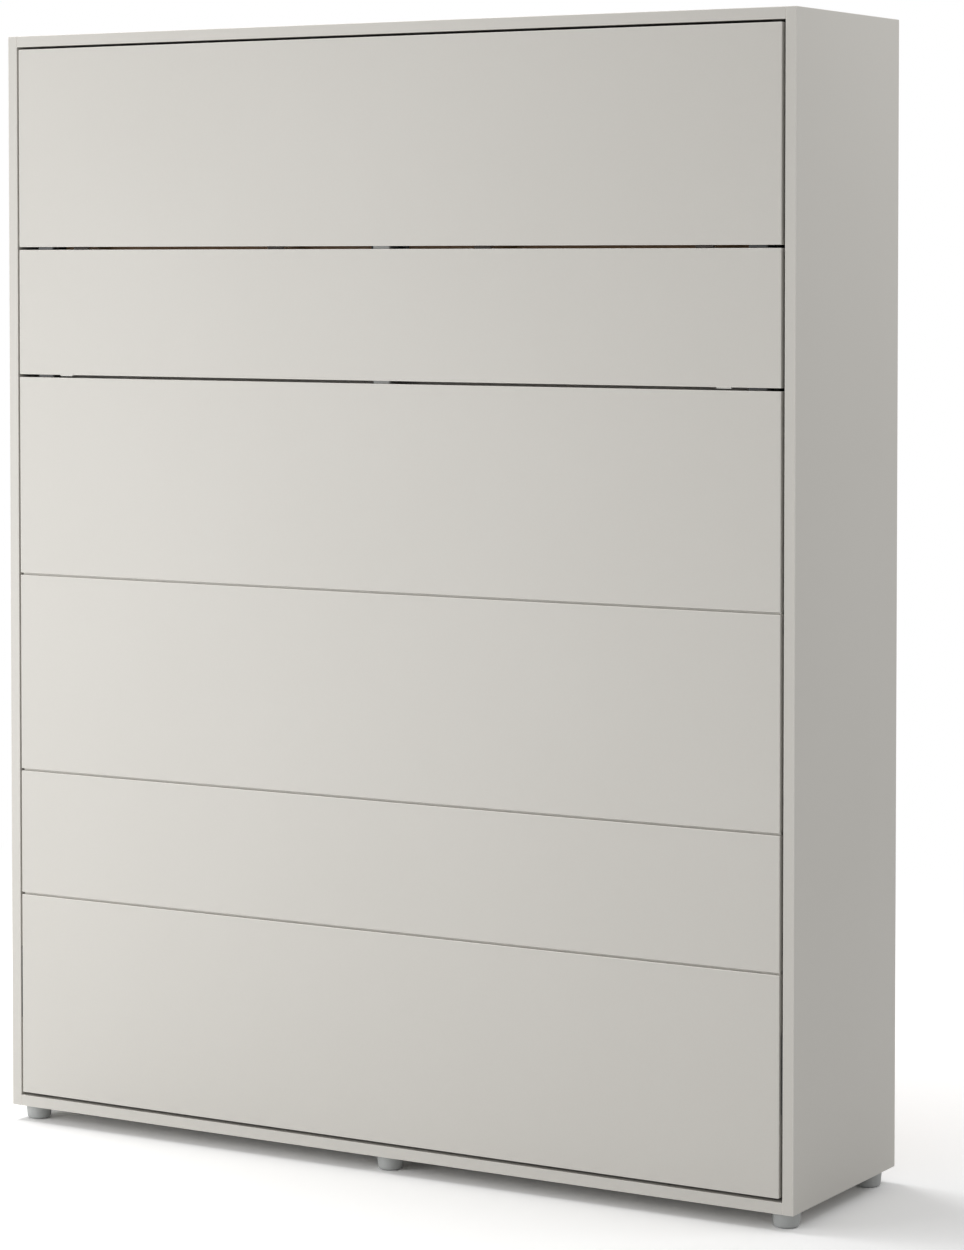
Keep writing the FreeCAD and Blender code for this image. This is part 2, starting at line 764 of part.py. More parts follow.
def strut_anchor(name, side, tools):
    """A plate with a headed stud, on which the strut's upper eye turns."""
    blank = channel_body(f"{name}_blank", side, "Place.anchor_depth", "Place.anchor_place")
    base_plate(blank, "Size.anchor_width", "Size.anchor_height", "Size.anchor_thickness")
    pad(blank, circle(new_sketch(blank, "YZ_Plane"), "Size.stud_radius"), "Place.eye_far")
    head = circle(new_sketch(blank, "YZ_Plane"), "Size.stud_head_radius")
    head.setExpression("AttachmentOffset.Base.z", "Place.eye_far")
    pad(blank, head, "Size.stud_head_height")
    keep(cut(name, blank, tools), name)


def hinge_bush(name, side):
    """A flanged plain bearing in the boss of the hinge plate."""
    bore = "Size.pin_radius + Size.running_gap"
    flange = "Size.bush_flange_thickness"
    length = "Place.inner_half - Place.bush_inner_end"
    profile = [
        (bore, "0"),
        ("Place.boss_radius", "0"),
        ("Place.boss_radius", flange),
        ("Place.bush_radius", flange),
        ("Place.bush_radius", length),
        (bore, length),
    ]
    place = (f"{side} * Place.bush_inner_end", "Place.pivot_depth", "Place.pivot_height")
    keep(turned(name, profile, place, ALONG_X * side), name)


def pivot_pin(name, side):
    """A flanged pin on the outside of the lever plate."""
    length = "Place.inner_half - Size.pin_end_gap - Place.lever_outer"
    profile = [
        ("0", "0"),
        ("Size.pin_flange_radius", "0"),
        ("Size.pin_flange_radius", "Size.pin_flange_thickness"),
        ("Size.pin_radius", "Size.pin_flange_thickness"),
        ("Size.pin_radius", length),
        ("0", length),
    ]
    place = (f"{side} * Place.lever_outer", "Place.pivot_depth", "Place.pivot_height")
    keep(turned(name, profile, place, ALONG_X * side), name)


def lever_plate(name, side):
    """A steel plate on the outside of a side rail, with an arm back to the strut's lower end."""
    owner = new_body(name)
    low_depth = "(Place.rail_front + Size.lever_margin)"
    low_height = "(Place.lever_height - Size.lever_eye_radius)"
    arm = f"Place.lever_depth + Size.lever_eye_radius - {low_depth}"
    neck = "Size.rail_depth - 2 * Size.lever_margin"
    height = f"Place.pivot_height + Size.lever_rise - {low_height}"
    corners = [("0", "0"), (arm, "0"), (arm, "2 * Size.lever_eye_radius"), (neck, height), ("0", height)]
    plate = pad(owner, outline(new_sketch(owner, "YZ_Plane"), corners), "Size.lever_thickness")
    ease(owner, plate, "Size.lever_corner_round", lambda edge: runs_along(edge, ALONG_X))
    seat(owner, low_x(side, "Place.frame_half", "Place.lever_outer"), low_depth, low_height)
    keep(owner, name)


def strut_cylinder(name, side):
    """The strut's cylinder: an eye on the anchor's stud, a tube and the collar the rod slides in."""
    owner = new_body(name)
    inner = "Size.cylinder_radius - Size.cylinder_wall"
    collar = "Size.rod_radius + Size.running_gap"
    start = "Size.stud_head_radius + 2 * Size.side_play"
    profile = [
        ("0", start),
        ("Size.cylinder_radius", start),
        ("Size.cylinder_radius", "Size.cylinder_length"),
        (collar, "Size.cylinder_length"),
        (collar, "Size.cylinder_length - Size.cylinder_end"),
        (inner, "Size.cylinder_length - Size.cylinder_end"),
        (inner, f"{start} + 2 * Size.cylinder_end"),
        ("0", f"{start} + 2 * Size.cylinder_end"),
    ]
    revolve(owner, outline(new_sketch(owner, "XZ_Plane"), profile))
    pad(owner, circle(new_sketch(owner, "YZ_Plane"), "Size.eye_radius"), "Size.eye_width", symmetric=True)
    pierce(owner, circle(new_sketch(owner, "YZ_Plane"), "Size.stud_radius + Size.running_gap"))
    owner.Placement = Placement(Vector(0, 0, 0), Rotation(ALONG_X, 180))
    owner.setExpression("Placement.Rotation.Angle", "180 - Place.strut_tilt")
    seat(owner, f"{side} * Place.strut_plane", "Place.anchor_depth", "Place.anchor_place")
    keep(owner, name)


def strut_rod(name, side):
    """The strut's rod: an eye with its pin at the lever, and the bar that slides in the cylinder."""
    owner = new_body(name)
    profile = [
        ("0", "Size.eye_radius / 2"),
        ("Size.rod_radius", "Size.eye_radius / 2"),
        ("Size.rod_radius", "Place.rod_length"),
        ("0", "Place.rod_length"),
    ]
    revolve(owner, outline(new_sketch(owner, "XZ_Plane"), profile))
    pad(owner, circle(new_sketch(owner, "YZ_Plane"), "Size.eye_radius"), "Size.eye_width", symmetric=True)
    reach = "Place.strut_plane - Place.lever_outer - Size.open_pivot_gap"
    pad(owner, circle(new_sketch(owner, "YZ_Plane"), "Size.stud_radius"), reach, backwards=side > 0)
    owner.Placement = Placement(Vector(0, 0, 0), Rotation(ALONG_X, 1))
    owner.setExpression("Placement.Rotation.Angle", "-Place.strut_tilt")
    seat(owner, f"{side} * Place.strut_plane", "Place.lever_depth", "Place.lever_height")
    keep(owner, name)


def channels(tools):
    """Everything in the two side channels, and the rubber pads of the stops."""
    for word, side in SIDES.items():
        hinge_plate(f"hinge_plate_{word}", side, tools)
        hinge_bush(f"hinge_bush_{word}", side)
        pivot_pin(f"pivot_pin_{word}", side)
        lever_plate(f"lever_plate_{word}", side)
        strut_anchor(f"strut_anchor_{word}", side, tools)
        strut_cylinder(f"strut_cylinder_{word}", side)
        strut_rod(f"strut_rod_{word}", side)
    radius = value("Size.stop_pad_radius")
    thickness = value("Size.stop_pad_thickness")
    depth = "Place.stop_front - Size.stop_pad_thickness"
    starts = [at(f"{side} * Place.rail_middle", depth, "Place.stop_middle") for side in SIDES.values()]
    pads = [Part.makeCylinder(radius, thickness, start, ALONG_Y) for start in starts]
    keep(copies("stop_pads", pads), "stop_pads")


# Bed frame and front


def panel_screws(name, bores):
    """Screws inside the tubes that hold the boards, or the bores and access holes they need."""
    spare = value("Size.screw_clearance") if bores else 0
    shank = value("Size.panel_screw_radius") + spare
    head = value("Size.panel_screw_head_radius")
    head_height = value("Size.panel_screw_head_height")
    bite = value("Size.panel_screw_bite") + spare
    wall = value("Size.tube_wall")
    access = value("Size.screw_access_radius")
    overrun = value("Size.bore_overrun")
    made = []
    for low, top in board_spans().values():
        for height in (f"{low} + Size.panel_screw_inset", f"{top} - Size.panel_screw_inset"):
            for across in ("-Place.rail_middle", "0", "Place.rail_middle"):
                inner_face = at(across, "Place.rail_front + Size.tube_wall", height)
                tip = inner_face - ALONG_Y * (bite + wall)
                if bores:
                    made.append(Part.makeCylinder(shank, bite + wall + overrun, tip, ALONG_Y))
                    hole = at(across, "Place.rail_back - Size.tube_wall", height) - ALONG_Y * overrun
                    made.append(Part.makeCylinder(access, wall + 2 * overrun, hole, ALONG_Y))
                else:
                    cap = Part.makeCylinder(head, head_height, inner_face, ALONG_Y)
                    made.append(cap.fuse(Part.makeCylinder(shank, bite + wall, tip, ALONG_Y)))
    return copies(name, made)


def board_spans():
    """Lower and upper edge of each board that is fixed to the frame."""
    return {
        "one": ("Place.board_one_low", "Place.front_top"),
        "three": ("Place.board_three_low", "Place.board_three_top"),
        "four": ("Place.board_four_low", "Place.board_four_top"),
        "five": ("Place.board_five_low", "Place.board_five_top"),
        "six": ("Place.front_low", "Place.board_six_top"),
    }


def tube(name, role, section, length, corner, axis):
    """A rectangular steel tube with rounded corners, its section on one of the origin planes."""
    owner = new_body(name)
    wide, high = section
    blank = pad(owner, rectangle(new_sketch(owner, role), wide, high), length)
    ease(owner, blank, "Size.tube_corner_round", lambda edge: runs_along(edge, axis))
    wall = "Size.tube_wall"
    inner = [
        (wall, wall),
        (f"{wide} - {wall}", wall),
        (f"{wide} - {wall}", f"{high} - {wall}"),
        (wall, f"{high} - {wall}"),
    ]
    pierce(owner, outline(new_sketch(owner, role), inner))
    seat(owner, *corner)
    return owner


def lap(name, edge, half, play="0"):
    """The lip behind a lapped joint, from below a board's upper edge to above it, or the rebate
    that clears it in the board above."""
    corner = (f"-{half}", f"Place.front + Size.joint_depth - {play}", f"{edge} - Size.lap_height")
    depth = f"Size.board_thickness - Size.joint_depth + 2 * {play}"
    return block(name, corner, (f"2 * {half}", depth, f"2 * Size.lap_height + {play}"))


def bed_frame():
    """Two side rails, a centre rail and a tube at each end, bored for the panel screws."""
    bores = panel_screws("panel_screw_bores", True)
    keep(panel_screws("panel_screws", False), "panel_screws")
    upright = ("Size.rail_width", "Size.rail_depth")
    lying = ("Size.rail_depth", "Size.rail_width")
    full = "Place.frame_top - Place.frame_low"
    tubes = {}
    for word, side in SIDES.items():
        low = low_x(side, "Place.rail_inner", "Place.frame_half")
        corner = (low, "Place.rail_front", "Place.frame_low")
        tubes[f"side_rail_{word}"] = ("XY_Plane", upright, full, corner, ALONG_Z)
    corner = ("-Size.rail_width / 2", "Place.rail_front", "Place.foot_tube_top")
    between = "Place.head_tube_low - Place.foot_tube_top"
    tubes["center_rail"] = ("XY_Plane", upright, between, corner, ALONG_Z)
    for name, low in (("head_tube", "Place.head_tube_low"), ("foot_tube", "Place.frame_low")):
        corner = ("-Place.rail_inner", "Place.rail_front", low)
        tubes[name] = ("YZ_Plane", lying, "2 * Place.rail_inner", corner, ALONG_X)
    for name, (role, section, length, corner, axis) in tubes.items():
        blank = tube(f"{name}_blank", role, section, length, corner, axis)
        keep(cut(name, blank, bores), name)
    for word, (low, top) in board_spans().items():
        name = f"front_board_{word}"
        corner = ("-Place.board_half", "Place.front", low)
        extent = ("2 * Place.board_half", "Size.board_thickness", f"{top} - ({low})")
        blank = slab(f"{name}_blank", corner, extent, "Size.board_edge_round")
        if word in LAPPED_BOARDS.values():
            lip = lap(f"{name}_lip", top, "(Place.board_half - Size.board_edge_round)")
            blank = joined(f"{name}_lipped", [blank, lip])
        if word in LAPPED_BOARDS:
            under = board_spans()[LAPPED_BOARDS[word]][1]
            rebate = lap(f"{name}_rebate", under, "(Place.board_half + Size.lap_play)", "Size.lap_play")
            blank = cut(f"{name}_rebated", blank, rebate)
        keep(cut(name, blank, bores), name)


def slat_row(name, side, clearance, edge_round):
    """A row of slats on one side of the centre rail, or the sockets that take their ends."""
    near = f"Place.slat_inner - {clearance}"
    far = f"Place.slat_outer + {clearance}"
    owner = new_body(name)
    corner = (low_x(side, near, far), f"Place.slat_front - {clearance}",
              f"Place.first_slat - Size.slat_width / 2 - {clearance}")
    section = rectangle(new_sketch(owner, "XY_Plane"), f"{far} - ({near})",
                        f"Size.slat_thickness + 2 * {clearance}")
    first = pad(owner, section, f"Size.slat_width + 2 * {clearance}")
    if edge_round:
        ease(owner, first, edge_round)
    repeat(owner, "Place.slat_rise", SLAT_COUNT)
    seat(owner, *corner)
    return owner


def holder_row(name, low, length):
    """A column of slat holders on one rail, still without their sockets."""
    owner = new_body(name)
    section = rectangle(new_sketch(owner, "XY_Plane"), length, "Place.holder_height")
    ease(owner, pad(owner, section, "Place.holder_width"), "Size.holder_edge_round")
    repeat(owner, "Place.slat_rise", SLAT_COUNT)
    seat(owner, low, "Place.rail_back", "Place.first_slat - Place.holder_width / 2")
    return owner


def slats():
    """Two rows of slats with their ends in moulded holders on the three rails."""
    sockets = []
    columns = [holder_row("center_holders", "-Size.center_holder_half", "2 * Size.center_holder_half")]
    for word, side in SIDES.items():
        keep(slat_row(f"slats_{word}", side, "0", "Size.slat_edge_round"), f"slats_{word}")
        sockets.append(slat_row(f"slat_sockets_{word}", side, "Size.slat_clearance", None))
        near = "Place.holder_outer - Size.holder_length"
        low = low_x(side, near, "Place.holder_outer")
        columns.append(holder_row(f"holders_{word}", low, "Size.holder_length"))
    holders = cut("slat_holders", together("holder_blanks", columns), together("slat_sockets", sockets))
    keep(holders, "slat_holders")


def mattress():
    """The mattress: padding with rounded corners and edges round the space of its spring core."""
    owner = new_body("mattress_blank")
    length = "Place.mattress_top - Place.mattress_low"
    extent = ("2 * Place.mattress_half", "Size.mattress_thickness", length)
    base = pad(owner, rectangle(new_sketch(owner, "XY_Plane"), *extent[:2]), length)
    rounded = ease(owner, base, "Size.mattress_corner_round", lambda edge: runs_along(edge, ALONG_Y))
    faces = (0, value("Size.mattress_thickness"))

    def is_face_edge(edge):
        """An edge that lies in the front or the back face."""
        depths = [vertex.Y for vertex in edge.Vertexes]
        gap = value("Size.soft_gap")
        return any(all(abs(depth - face) < gap for depth in depths) for face in faces)

    ease(owner, rounded, "Size.mattress_edge_round", is_face_edge)
    seat(owner, "-Place.mattress_half", "Place.mattress_front", "Place.mattress_low")
    padding = "Size.mattress_padding"
    corner = (f"-Place.mattress_half + {padding}", f"Place.mattress_front + {padding}",
              f"Place.mattress_low + {padding}")
    core = [f"{side} - 2 * {padding}" for side in extent]
    keep(cut("mattress", owner, block("spring_core", corner, core)), "mattress")


def mattress_bow(name, height):
    """A bent round bar on a frame tube, which stops the mattress at one end."""
    owner = new_body(name)
    span, reach, bend = (value(f"Size.bow_{word}") for word in ("span", "reach", "bend"))
    path = new_sketch(owner, "XY_Plane")
    shoulder = reach - bend
    left = Vector(bend, shoulder, 0)
    right = Vector(span - bend, shoulder, 0)
    corners = [Vector(0, 0, 0), Vector(0, shoulder, 0), Vector(bend, reach, 0),
               Vector(span - bend, reach, 0), Vector(span, shoulder, 0), Vector(span, 0, 0)]
    half_bend = bend / 2 ** 0.5
    path.addGeometry(Part.LineSegment(corners[0], corners[1]))
    path.addGeometry(Part.Arc(corners[1], left + Vector(-half_bend, half_bend, 0), corners[2]))
    path.addGeometry(Part.LineSegment(corners[2], corners[3]))
    path.addGeometry(Part.Arc(corners[3], right + Vector(half_bend, half_bend, 0), corners[4]))
    path.addGeometry(Part.LineSegment(corners[4], corners[5]))
    path.addConstraint(Sketcher.Constraint("Coincident", 0, 1, -1, 1))
    for line, level in ((0, "Vertical"), (2, "Horizontal"), (4, "Vertical")):
        path.addConstraint(Sketcher.Constraint(level, line))
    # An arc runs anticlockwise, so each one starts at the end nearer to the right-hand side.
    for line, line_end, arc, arc_end in ((0, 2, 1, 2), (2, 1, 1, 1), (2, 2, 3, 2), (4, 1, 3, 1)):
        path.addConstraint(Sketcher.Constraint("Tangent", line, line_end, arc, arc_end))
    path.addConstraint(Sketcher.Constraint("Equal", 1, 3))
    path.addConstraint(Sketcher.Constraint("PointOnObject", 4, 2, -1))
    hold(path, Sketcher.Constraint("Radius", 1, bend), "Size.bow_bend")
    hold(path, Sketcher.Constraint("DistanceX", 0, 1, 4, 2, span), "Size.bow_span")
    hold(path, Sketcher.Constraint("DistanceY", 0, 1, 2, 1, reach), "Size.bow_reach")
    pipe = owner.newObject("PartDesign::AdditivePipe", owner.Name + "_pipe")
    pipe.Profile = circle(new_sketch(owner, "XZ_Plane"), "Size.bow_radius")
    pipe.Spine = path
    seat(owner, "-Size.bow_span / 2", "Place.rail_back", height)
    keep(owner, name)


def mattress_strap(name, bay):
    """A flat webbing band over the mattress, from one side rail to the other."""
    owner = new_body(name)
    outer = "Place.mattress_half + Size.soft_gap + Size.strap_thickness"
    rise = "Place.mattress_back + Size.soft_gap + Size.strap_thickness - Place.rail_back"
    band = "Size.strap_thickness"
    width = f"2 * ({outer})"
    corners = [
        ("0", "0"),
        (band, "0"),
        (band, f"{rise} - {band}"),
        (f"{width} - {band}", f"{rise} - {band}"),
        (f"{width} - {band}", "0"),
        (width, "0"),
        (width, rise),
        ("0", rise),
    ]
    pad(owner, outline(new_sketch(owner, "XY_Plane"), corners), "Size.strap_width")
    height = f"Place.first_slat + Place.slat_pitch * ({bay} + 1 / 2) - Size.strap_width / 2"
    seat(owner, f"-({outer})", "Place.rail_back", height)
    keep(owner, name)


# Fold-out leg


def leg_hinge_places():
    """Four hinges at even distances, so that the middle of the gap stays free."""
    spread = "Place.leg_hinge_spread"
    return {"far_left": f"-{spread}", "near_left": f"-{spread} / 3",
            "near_right": f"{spread} / 3", "far_right": spread}


def leg_hinge_leaves(name, board_edge, thirds, bores):
    """Leaves on one meeting edge, each with knuckles on some thirds of its width."""
    play = "Size.knuckle_play"
    pieces = []
    for word, middle in leg_hinge_places().items():
        left = f"{middle} - Size.leg_hinge_width / 2"
        leaf = (left, "Place.leaf_front", board_edge)
        extent = ("Size.leg_hinge_width", "Size.leaf_depth", "Size.leaf_thickness")
        pieces.append(block(f"{name}_{word}_leaf", leaf, extent))
        for third in thirds:
            start = f"{left} + {third} * Place.knuckle_length + {play} / 2"
            length = f"Place.knuckle_length - {play}"
            link = (start, "Place.leg_axis", board_edge)
            link_depth = f"Place.leaf_front - Place.leg_axis + {play}"
            extent = (length, link_depth, "Size.leaf_thickness")
            pieces.append(block(f"{name}_{word}_link_{third}", link, extent))
            axis = (start, "Place.leg_axis", "Place.fold_line")
            pieces.append(bar(f"{name}_{word}_knuckle_{third}", axis, "Size.knuckle_radius", length))
    keep(cut(name, joined(f"{name}_blank", pieces), bores), name)


def leg():
    """The leg board, its four butt hinges and the glides on its free edge."""
    corner = ("-Place.board_half", "Place.front", "Place.leg_low")
    extent = ("2 * Place.board_half", "Size.board_thickness - Size.leg_clearance", "Size.leg_board_height")
    keep(slab("leg_board", corner, extent, "Size.board_edge_round"), "leg_board")
    pins = []
    bores = []
    over = "Size.bore_overrun"
    for word, middle in leg_hinge_places().items():
        start = f"{middle} - Size.leg_hinge_width / 2"
        axis = ("Place.leg_axis", "Place.fold_line")
        pins.append(bar(f"leg_pin_{word}", (start, *axis), "Size.leg_pin_radius", "Size.leg_hinge_width"))
        length = f"Size.leg_hinge_width + 2 * {over}"
        bore_start = (f"{start} - {over}", *axis)
        bores.append(bar(f"leg_pin_bore_{word}", bore_start, "Place.leg_bore_radius", length))
    keep(together("leg_hinge_pins", pins), "leg_hinge_pins")
    pin_bores = together("leg_pin_bores", bores)
    fixed_edge = "Place.board_one_low - Size.leaf_thickness"
    leg_hinge_leaves("leg_hinge_fixed_leaves", fixed_edge, (0, 2), pin_bores)
    leg_hinge_leaves("leg_hinge_moving_leaves", "Place.leg_top", (1,), pin_bores)
    for word, side in SIDES.items():
        half = "Size.glide_length / 2"
        near = f"Place.glide_across - {half}"
        low = low_x(side, near, f"Place.glide_across + {half}")
        corner = (low, "Place.leg_middle - Size.glide_width / 2", "Place.leg_low - Size.glide_height")
        extent = ("Size.glide_length", "Size.glide_width", "Size.glide_height")
        keep(slab(f"leg_glide_{word}", corner, extent, "Size.glide_edge_round"), f"leg_glide_{word}")


def write_parts():
    """Test every object, then write each sub-part to its own file."""
    doc.recompute()
    faults = [item.Name for item in doc.Objects if {"Invalid", "Error"} & set(item.State)]
    faults += [item.Label for item in nodes if item.Shape.isNull() or not item.Shape.isValid()]
    if faults:
        raise ValueError(f"not built: {', '.join(faults)}")
    os.makedirs("parts", exist_ok=True)
    for item in nodes:
        item.Shape.exportStep(os.path.join("parts", f"{item.Label}.step"))
    print(f"wrote {len(nodes)} sub-parts")


feet()
foot_screws()
channels(carcass())
bed_frame()
slats()
mattress()
mattress_bow("mattress_bow_head", "Place.head_bow_height")
mattress_bow("mattress_bow_foot", "Place.foot_bow_height")
for strap_word, strap_bay in STRAP_BAYS.items():
    mattress_strap(f"mattress_strap_{strap_word}", strap_bay)
leg()
write_parts()
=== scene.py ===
import math

import bpy
import numpy as np
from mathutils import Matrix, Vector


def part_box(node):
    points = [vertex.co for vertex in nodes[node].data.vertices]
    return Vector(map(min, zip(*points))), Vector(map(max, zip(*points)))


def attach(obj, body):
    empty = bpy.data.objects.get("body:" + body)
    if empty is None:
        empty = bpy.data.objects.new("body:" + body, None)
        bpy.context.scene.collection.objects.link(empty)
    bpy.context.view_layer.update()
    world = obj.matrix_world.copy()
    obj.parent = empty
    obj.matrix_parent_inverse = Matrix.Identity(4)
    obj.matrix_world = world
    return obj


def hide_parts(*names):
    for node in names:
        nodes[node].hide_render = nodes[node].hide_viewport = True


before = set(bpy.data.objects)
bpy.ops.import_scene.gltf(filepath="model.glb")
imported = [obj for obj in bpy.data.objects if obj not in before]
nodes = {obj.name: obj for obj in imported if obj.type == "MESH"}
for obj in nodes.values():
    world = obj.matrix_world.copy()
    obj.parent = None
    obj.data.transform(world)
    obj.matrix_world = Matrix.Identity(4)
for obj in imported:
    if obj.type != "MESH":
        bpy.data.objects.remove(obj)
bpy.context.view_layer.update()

# The closed bed stands with its front at -Y. Lengths are metres, patterns are given in millimetres.
MM = 0.001
FULL_TURN = 2 * math.pi
QUARTER_TURN = math.pi / 2
SIDES = {"left": -1, "right": 1}
# The least length that is divided by, so that a length of zero does no harm.
TINY = 1e-9


# Materials

# Sizes of the patterns, in millimetres. The press grain is really about 0.6 mm and the knitted loops
# about 1 mm. Both are drawn coarser, as fine as a render still shows.
PRESS_GRAIN = 2.4
PRESS_CLOUD = 420
BOARD_FIBRE = 5
BEECH_GRAIN = 4
BEECH_FLECK = 1.2
VENEER = 1.3
ORANGE_PEEL = 1.5
ZINC_CLOUD = 18
DRAWING_LINE = 0.8
POLISH_RING = 1.0
MOULD_FLOW = 25
KNIT_CLOUD = 60
KNIT_LOOP = 3.0
PIPING_LOOP = 2.0
WEBBING_PICK = 2.5
HERRINGBONE_HALF = 10
RUBBER_BLOOM = 6
# Blender's wave texture has about this many bands to the metre at a scale of 1.
WAVE_BANDS = 3.2
# The Mix node has several sockets of each name: these are its factor, numbers, colours and results.
FACTOR, NUMBER_A, NUMBER_B, COLOUR_A, COLOUR_B = 0, 2, 3, 6, 7
MIXED_NUMBER, MIXED_COLOUR = 0, 2


def linear(text):
    """An sRGB hex colour as linear red, green, blue and alpha, by the curve of the sRGB standard."""
    parts = np.array([int(text[i:i + 2], 16) for i in (1, 3, 5)]) / 255
    low = parts / 12.92
    high = ((parts + 0.055) / 1.055) ** 2.4
    return (*np.where(parts <= 0.04045, low, high).tolist(), 1.0)


def add(tree, kind, inputs=None, **settings):
    """Add a node with its settings, each input given as a value or as the socket that feeds it."""
    made = tree.nodes.new(kind)
    for name, setting in settings.items():
        setattr(made, name, setting)
    for name, given in (inputs or {}).items():
        if isinstance(given, bpy.types.NodeSocket):
            tree.links.new(given, made.inputs[name])
        else:
            made.inputs[name].default_value = given
    return made


def finish_of(name, **sockets):
    """A new material, its node tree and its shader, with the values that are the same all over it."""
    material = bpy.data.materials.new(name)
    material.use_nodes = True
    tree = material.node_tree
    shader = next(item for item in tree.nodes if item.type == "BSDF_PRINCIPLED")
    for socket, given in sockets.items():
        shader.inputs[socket.replace("_", " ")].default_value = given
    return material, tree, shader


def feed(tree, shader, **sockets):
    """Link the shader's sockets to the outputs that vary over the surface."""
    for socket, output in sockets.items():
        tree.links.new(output, shader.inputs[socket.replace("_", " ")])


def per_metre(millimetres):
    """Pattern repeats to the metre for a grain of this size."""
    return 1 / (millimetres * MM)


def melamine_board(name, tone, shade, rim):
    """Melamine-faced chipboard, pressed matte. The eye gets an even, warm tone, a fine pearl in the
    press plate's grain, and a sheen that breaks up a little when seen along the surface. Where the
    edge band is rounded over, no axis is square to it, and the paler rim colour is painted there as
    the highlight that the rounded edge catches."""
    material, tree, shader = finish_of(name, IOR=1.5)
    place = add(tree, "ShaderNodeTexCoord").outputs["Object"]
    grain = add(tree, "ShaderNodeTexNoise", {
        "Vector": place, "Scale": per_metre(PRESS_GRAIN), "Detail": 3.0, "Roughness": 0.6})
    cloud = add(tree, "ShaderNodeTexNoise", {
        "Vector": place, "Scale": per_metre(PRESS_CLOUD), "Detail": 2.0})
    both = add(tree, "ShaderNodeMix", {
        FACTOR: 0.45, NUMBER_A: grain.outputs[0], NUMBER_B: cloud.outputs[0]})
    face = add(tree, "ShaderNodeMix", {
        FACTOR: both.outputs[MIXED_NUMBER], COLOUR_A: linear(shade), COLOUR_B: linear(tone)},
        data_type="RGBA")
    facing = add(tree, "ShaderNodeVectorMath", {
        0: add(tree, "ShaderNodeTexCoord").outputs["Normal"]}, operation="ABSOLUTE")
    parts = add(tree, "ShaderNodeSeparateXYZ", {0: facing.outputs[0]})
    level = add(tree, "ShaderNodeMath", {
        0: parts.outputs["X"], 1: parts.outputs["Y"]}, operation="MAXIMUM")
    square = add(tree, "ShaderNodeMath", {
        0: level.outputs[0], 1: parts.outputs["Z"]}, operation="MAXIMUM")
    # Painted highlight: where the rounded edge turns away from every axis, the colour goes to the paler
    # rim colour, standing in for the light that the edge catches.
    painted_highlight = add(tree, "ShaderNodeMapRange", {
        "Value": square.outputs[0], "From Min": 0.9, "From Max": 0.995, "To Min": 1.0, "To Max": 0.0})
    colour = add(tree, "ShaderNodeMix", {
        FACTOR: painted_highlight.outputs[0], COLOUR_A: face.outputs[MIXED_COLOUR], COLOUR_B: linear(rim)},
        data_type="RGBA")
    dull = add(tree, "ShaderNodeMapRange", {
        "Value": grain.outputs[0], "From Min": 0.3, "From Max": 0.7, "To Min": 0.44, "To Max": 0.54})
    relief = add(tree, "ShaderNodeBump", {
        "Height": grain.outputs[0], "Strength": 0.035, "Distance": 0.2 * MM})
    feed(tree, shader, Base_Color=colour.outputs[MIXED_COLOUR], Roughness=dull.outputs[0],
         Normal=relief.outputs[0])
    return material


def lacquered_fibreboard():
    """Thin fibreboard, lacquered on the inside and raw brown at the back, where the pressed fibres show
    as short light and dark flecks."""
    material, tree, shader = finish_of("lacquered_fibreboard", Roughness=0.6)
    place = add(tree, "ShaderNodeTexCoord").outputs["Object"]
    fibre = add(tree, "ShaderNodeTexNoise", {
        "Vector": place, "Scale": per_metre(BOARD_FIBRE), "Detail": 4.0, "Roughness": 0.7})
    raw = add(tree, "ShaderNodeMix", {
        FACTOR: fibre.outputs[0], COLOUR_A: linear("#6d543a"), COLOUR_B: linear("#a98c66")},
        data_type="RGBA")
    lacquer = add(tree, "ShaderNodeMix", {
        FACTOR: fibre.outputs[0], COLOUR_A: linear("#d3d1cb"), COLOUR_B: linear("#dedcd6")},
        data_type="RGBA")
    depth = add(tree, "ShaderNodeSeparateXYZ", {0: place})
    middle = sum(end[1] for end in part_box("back_sheet_upper")) / 2
    behind = add(tree, "ShaderNodeMath", {0: depth.outputs["Y"], 1: middle}, operation="GREATER_THAN")
    colour = add(tree, "ShaderNodeMix", {
        FACTOR: behind.outputs[0], COLOUR_A: lacquer.outputs[MIXED_COLOUR],
        COLOUR_B: raw.outputs[MIXED_COLOUR]}, data_type="RGBA")
    relief = add(tree, "ShaderNodeBump", {
        "Height": fibre.outputs[0], "Strength": 0.15, "Distance": 0.3 * MM})
    feed(tree, shader, Base_Color=colour.outputs[MIXED_COLOUR], Normal=relief.outputs[0])
    return material


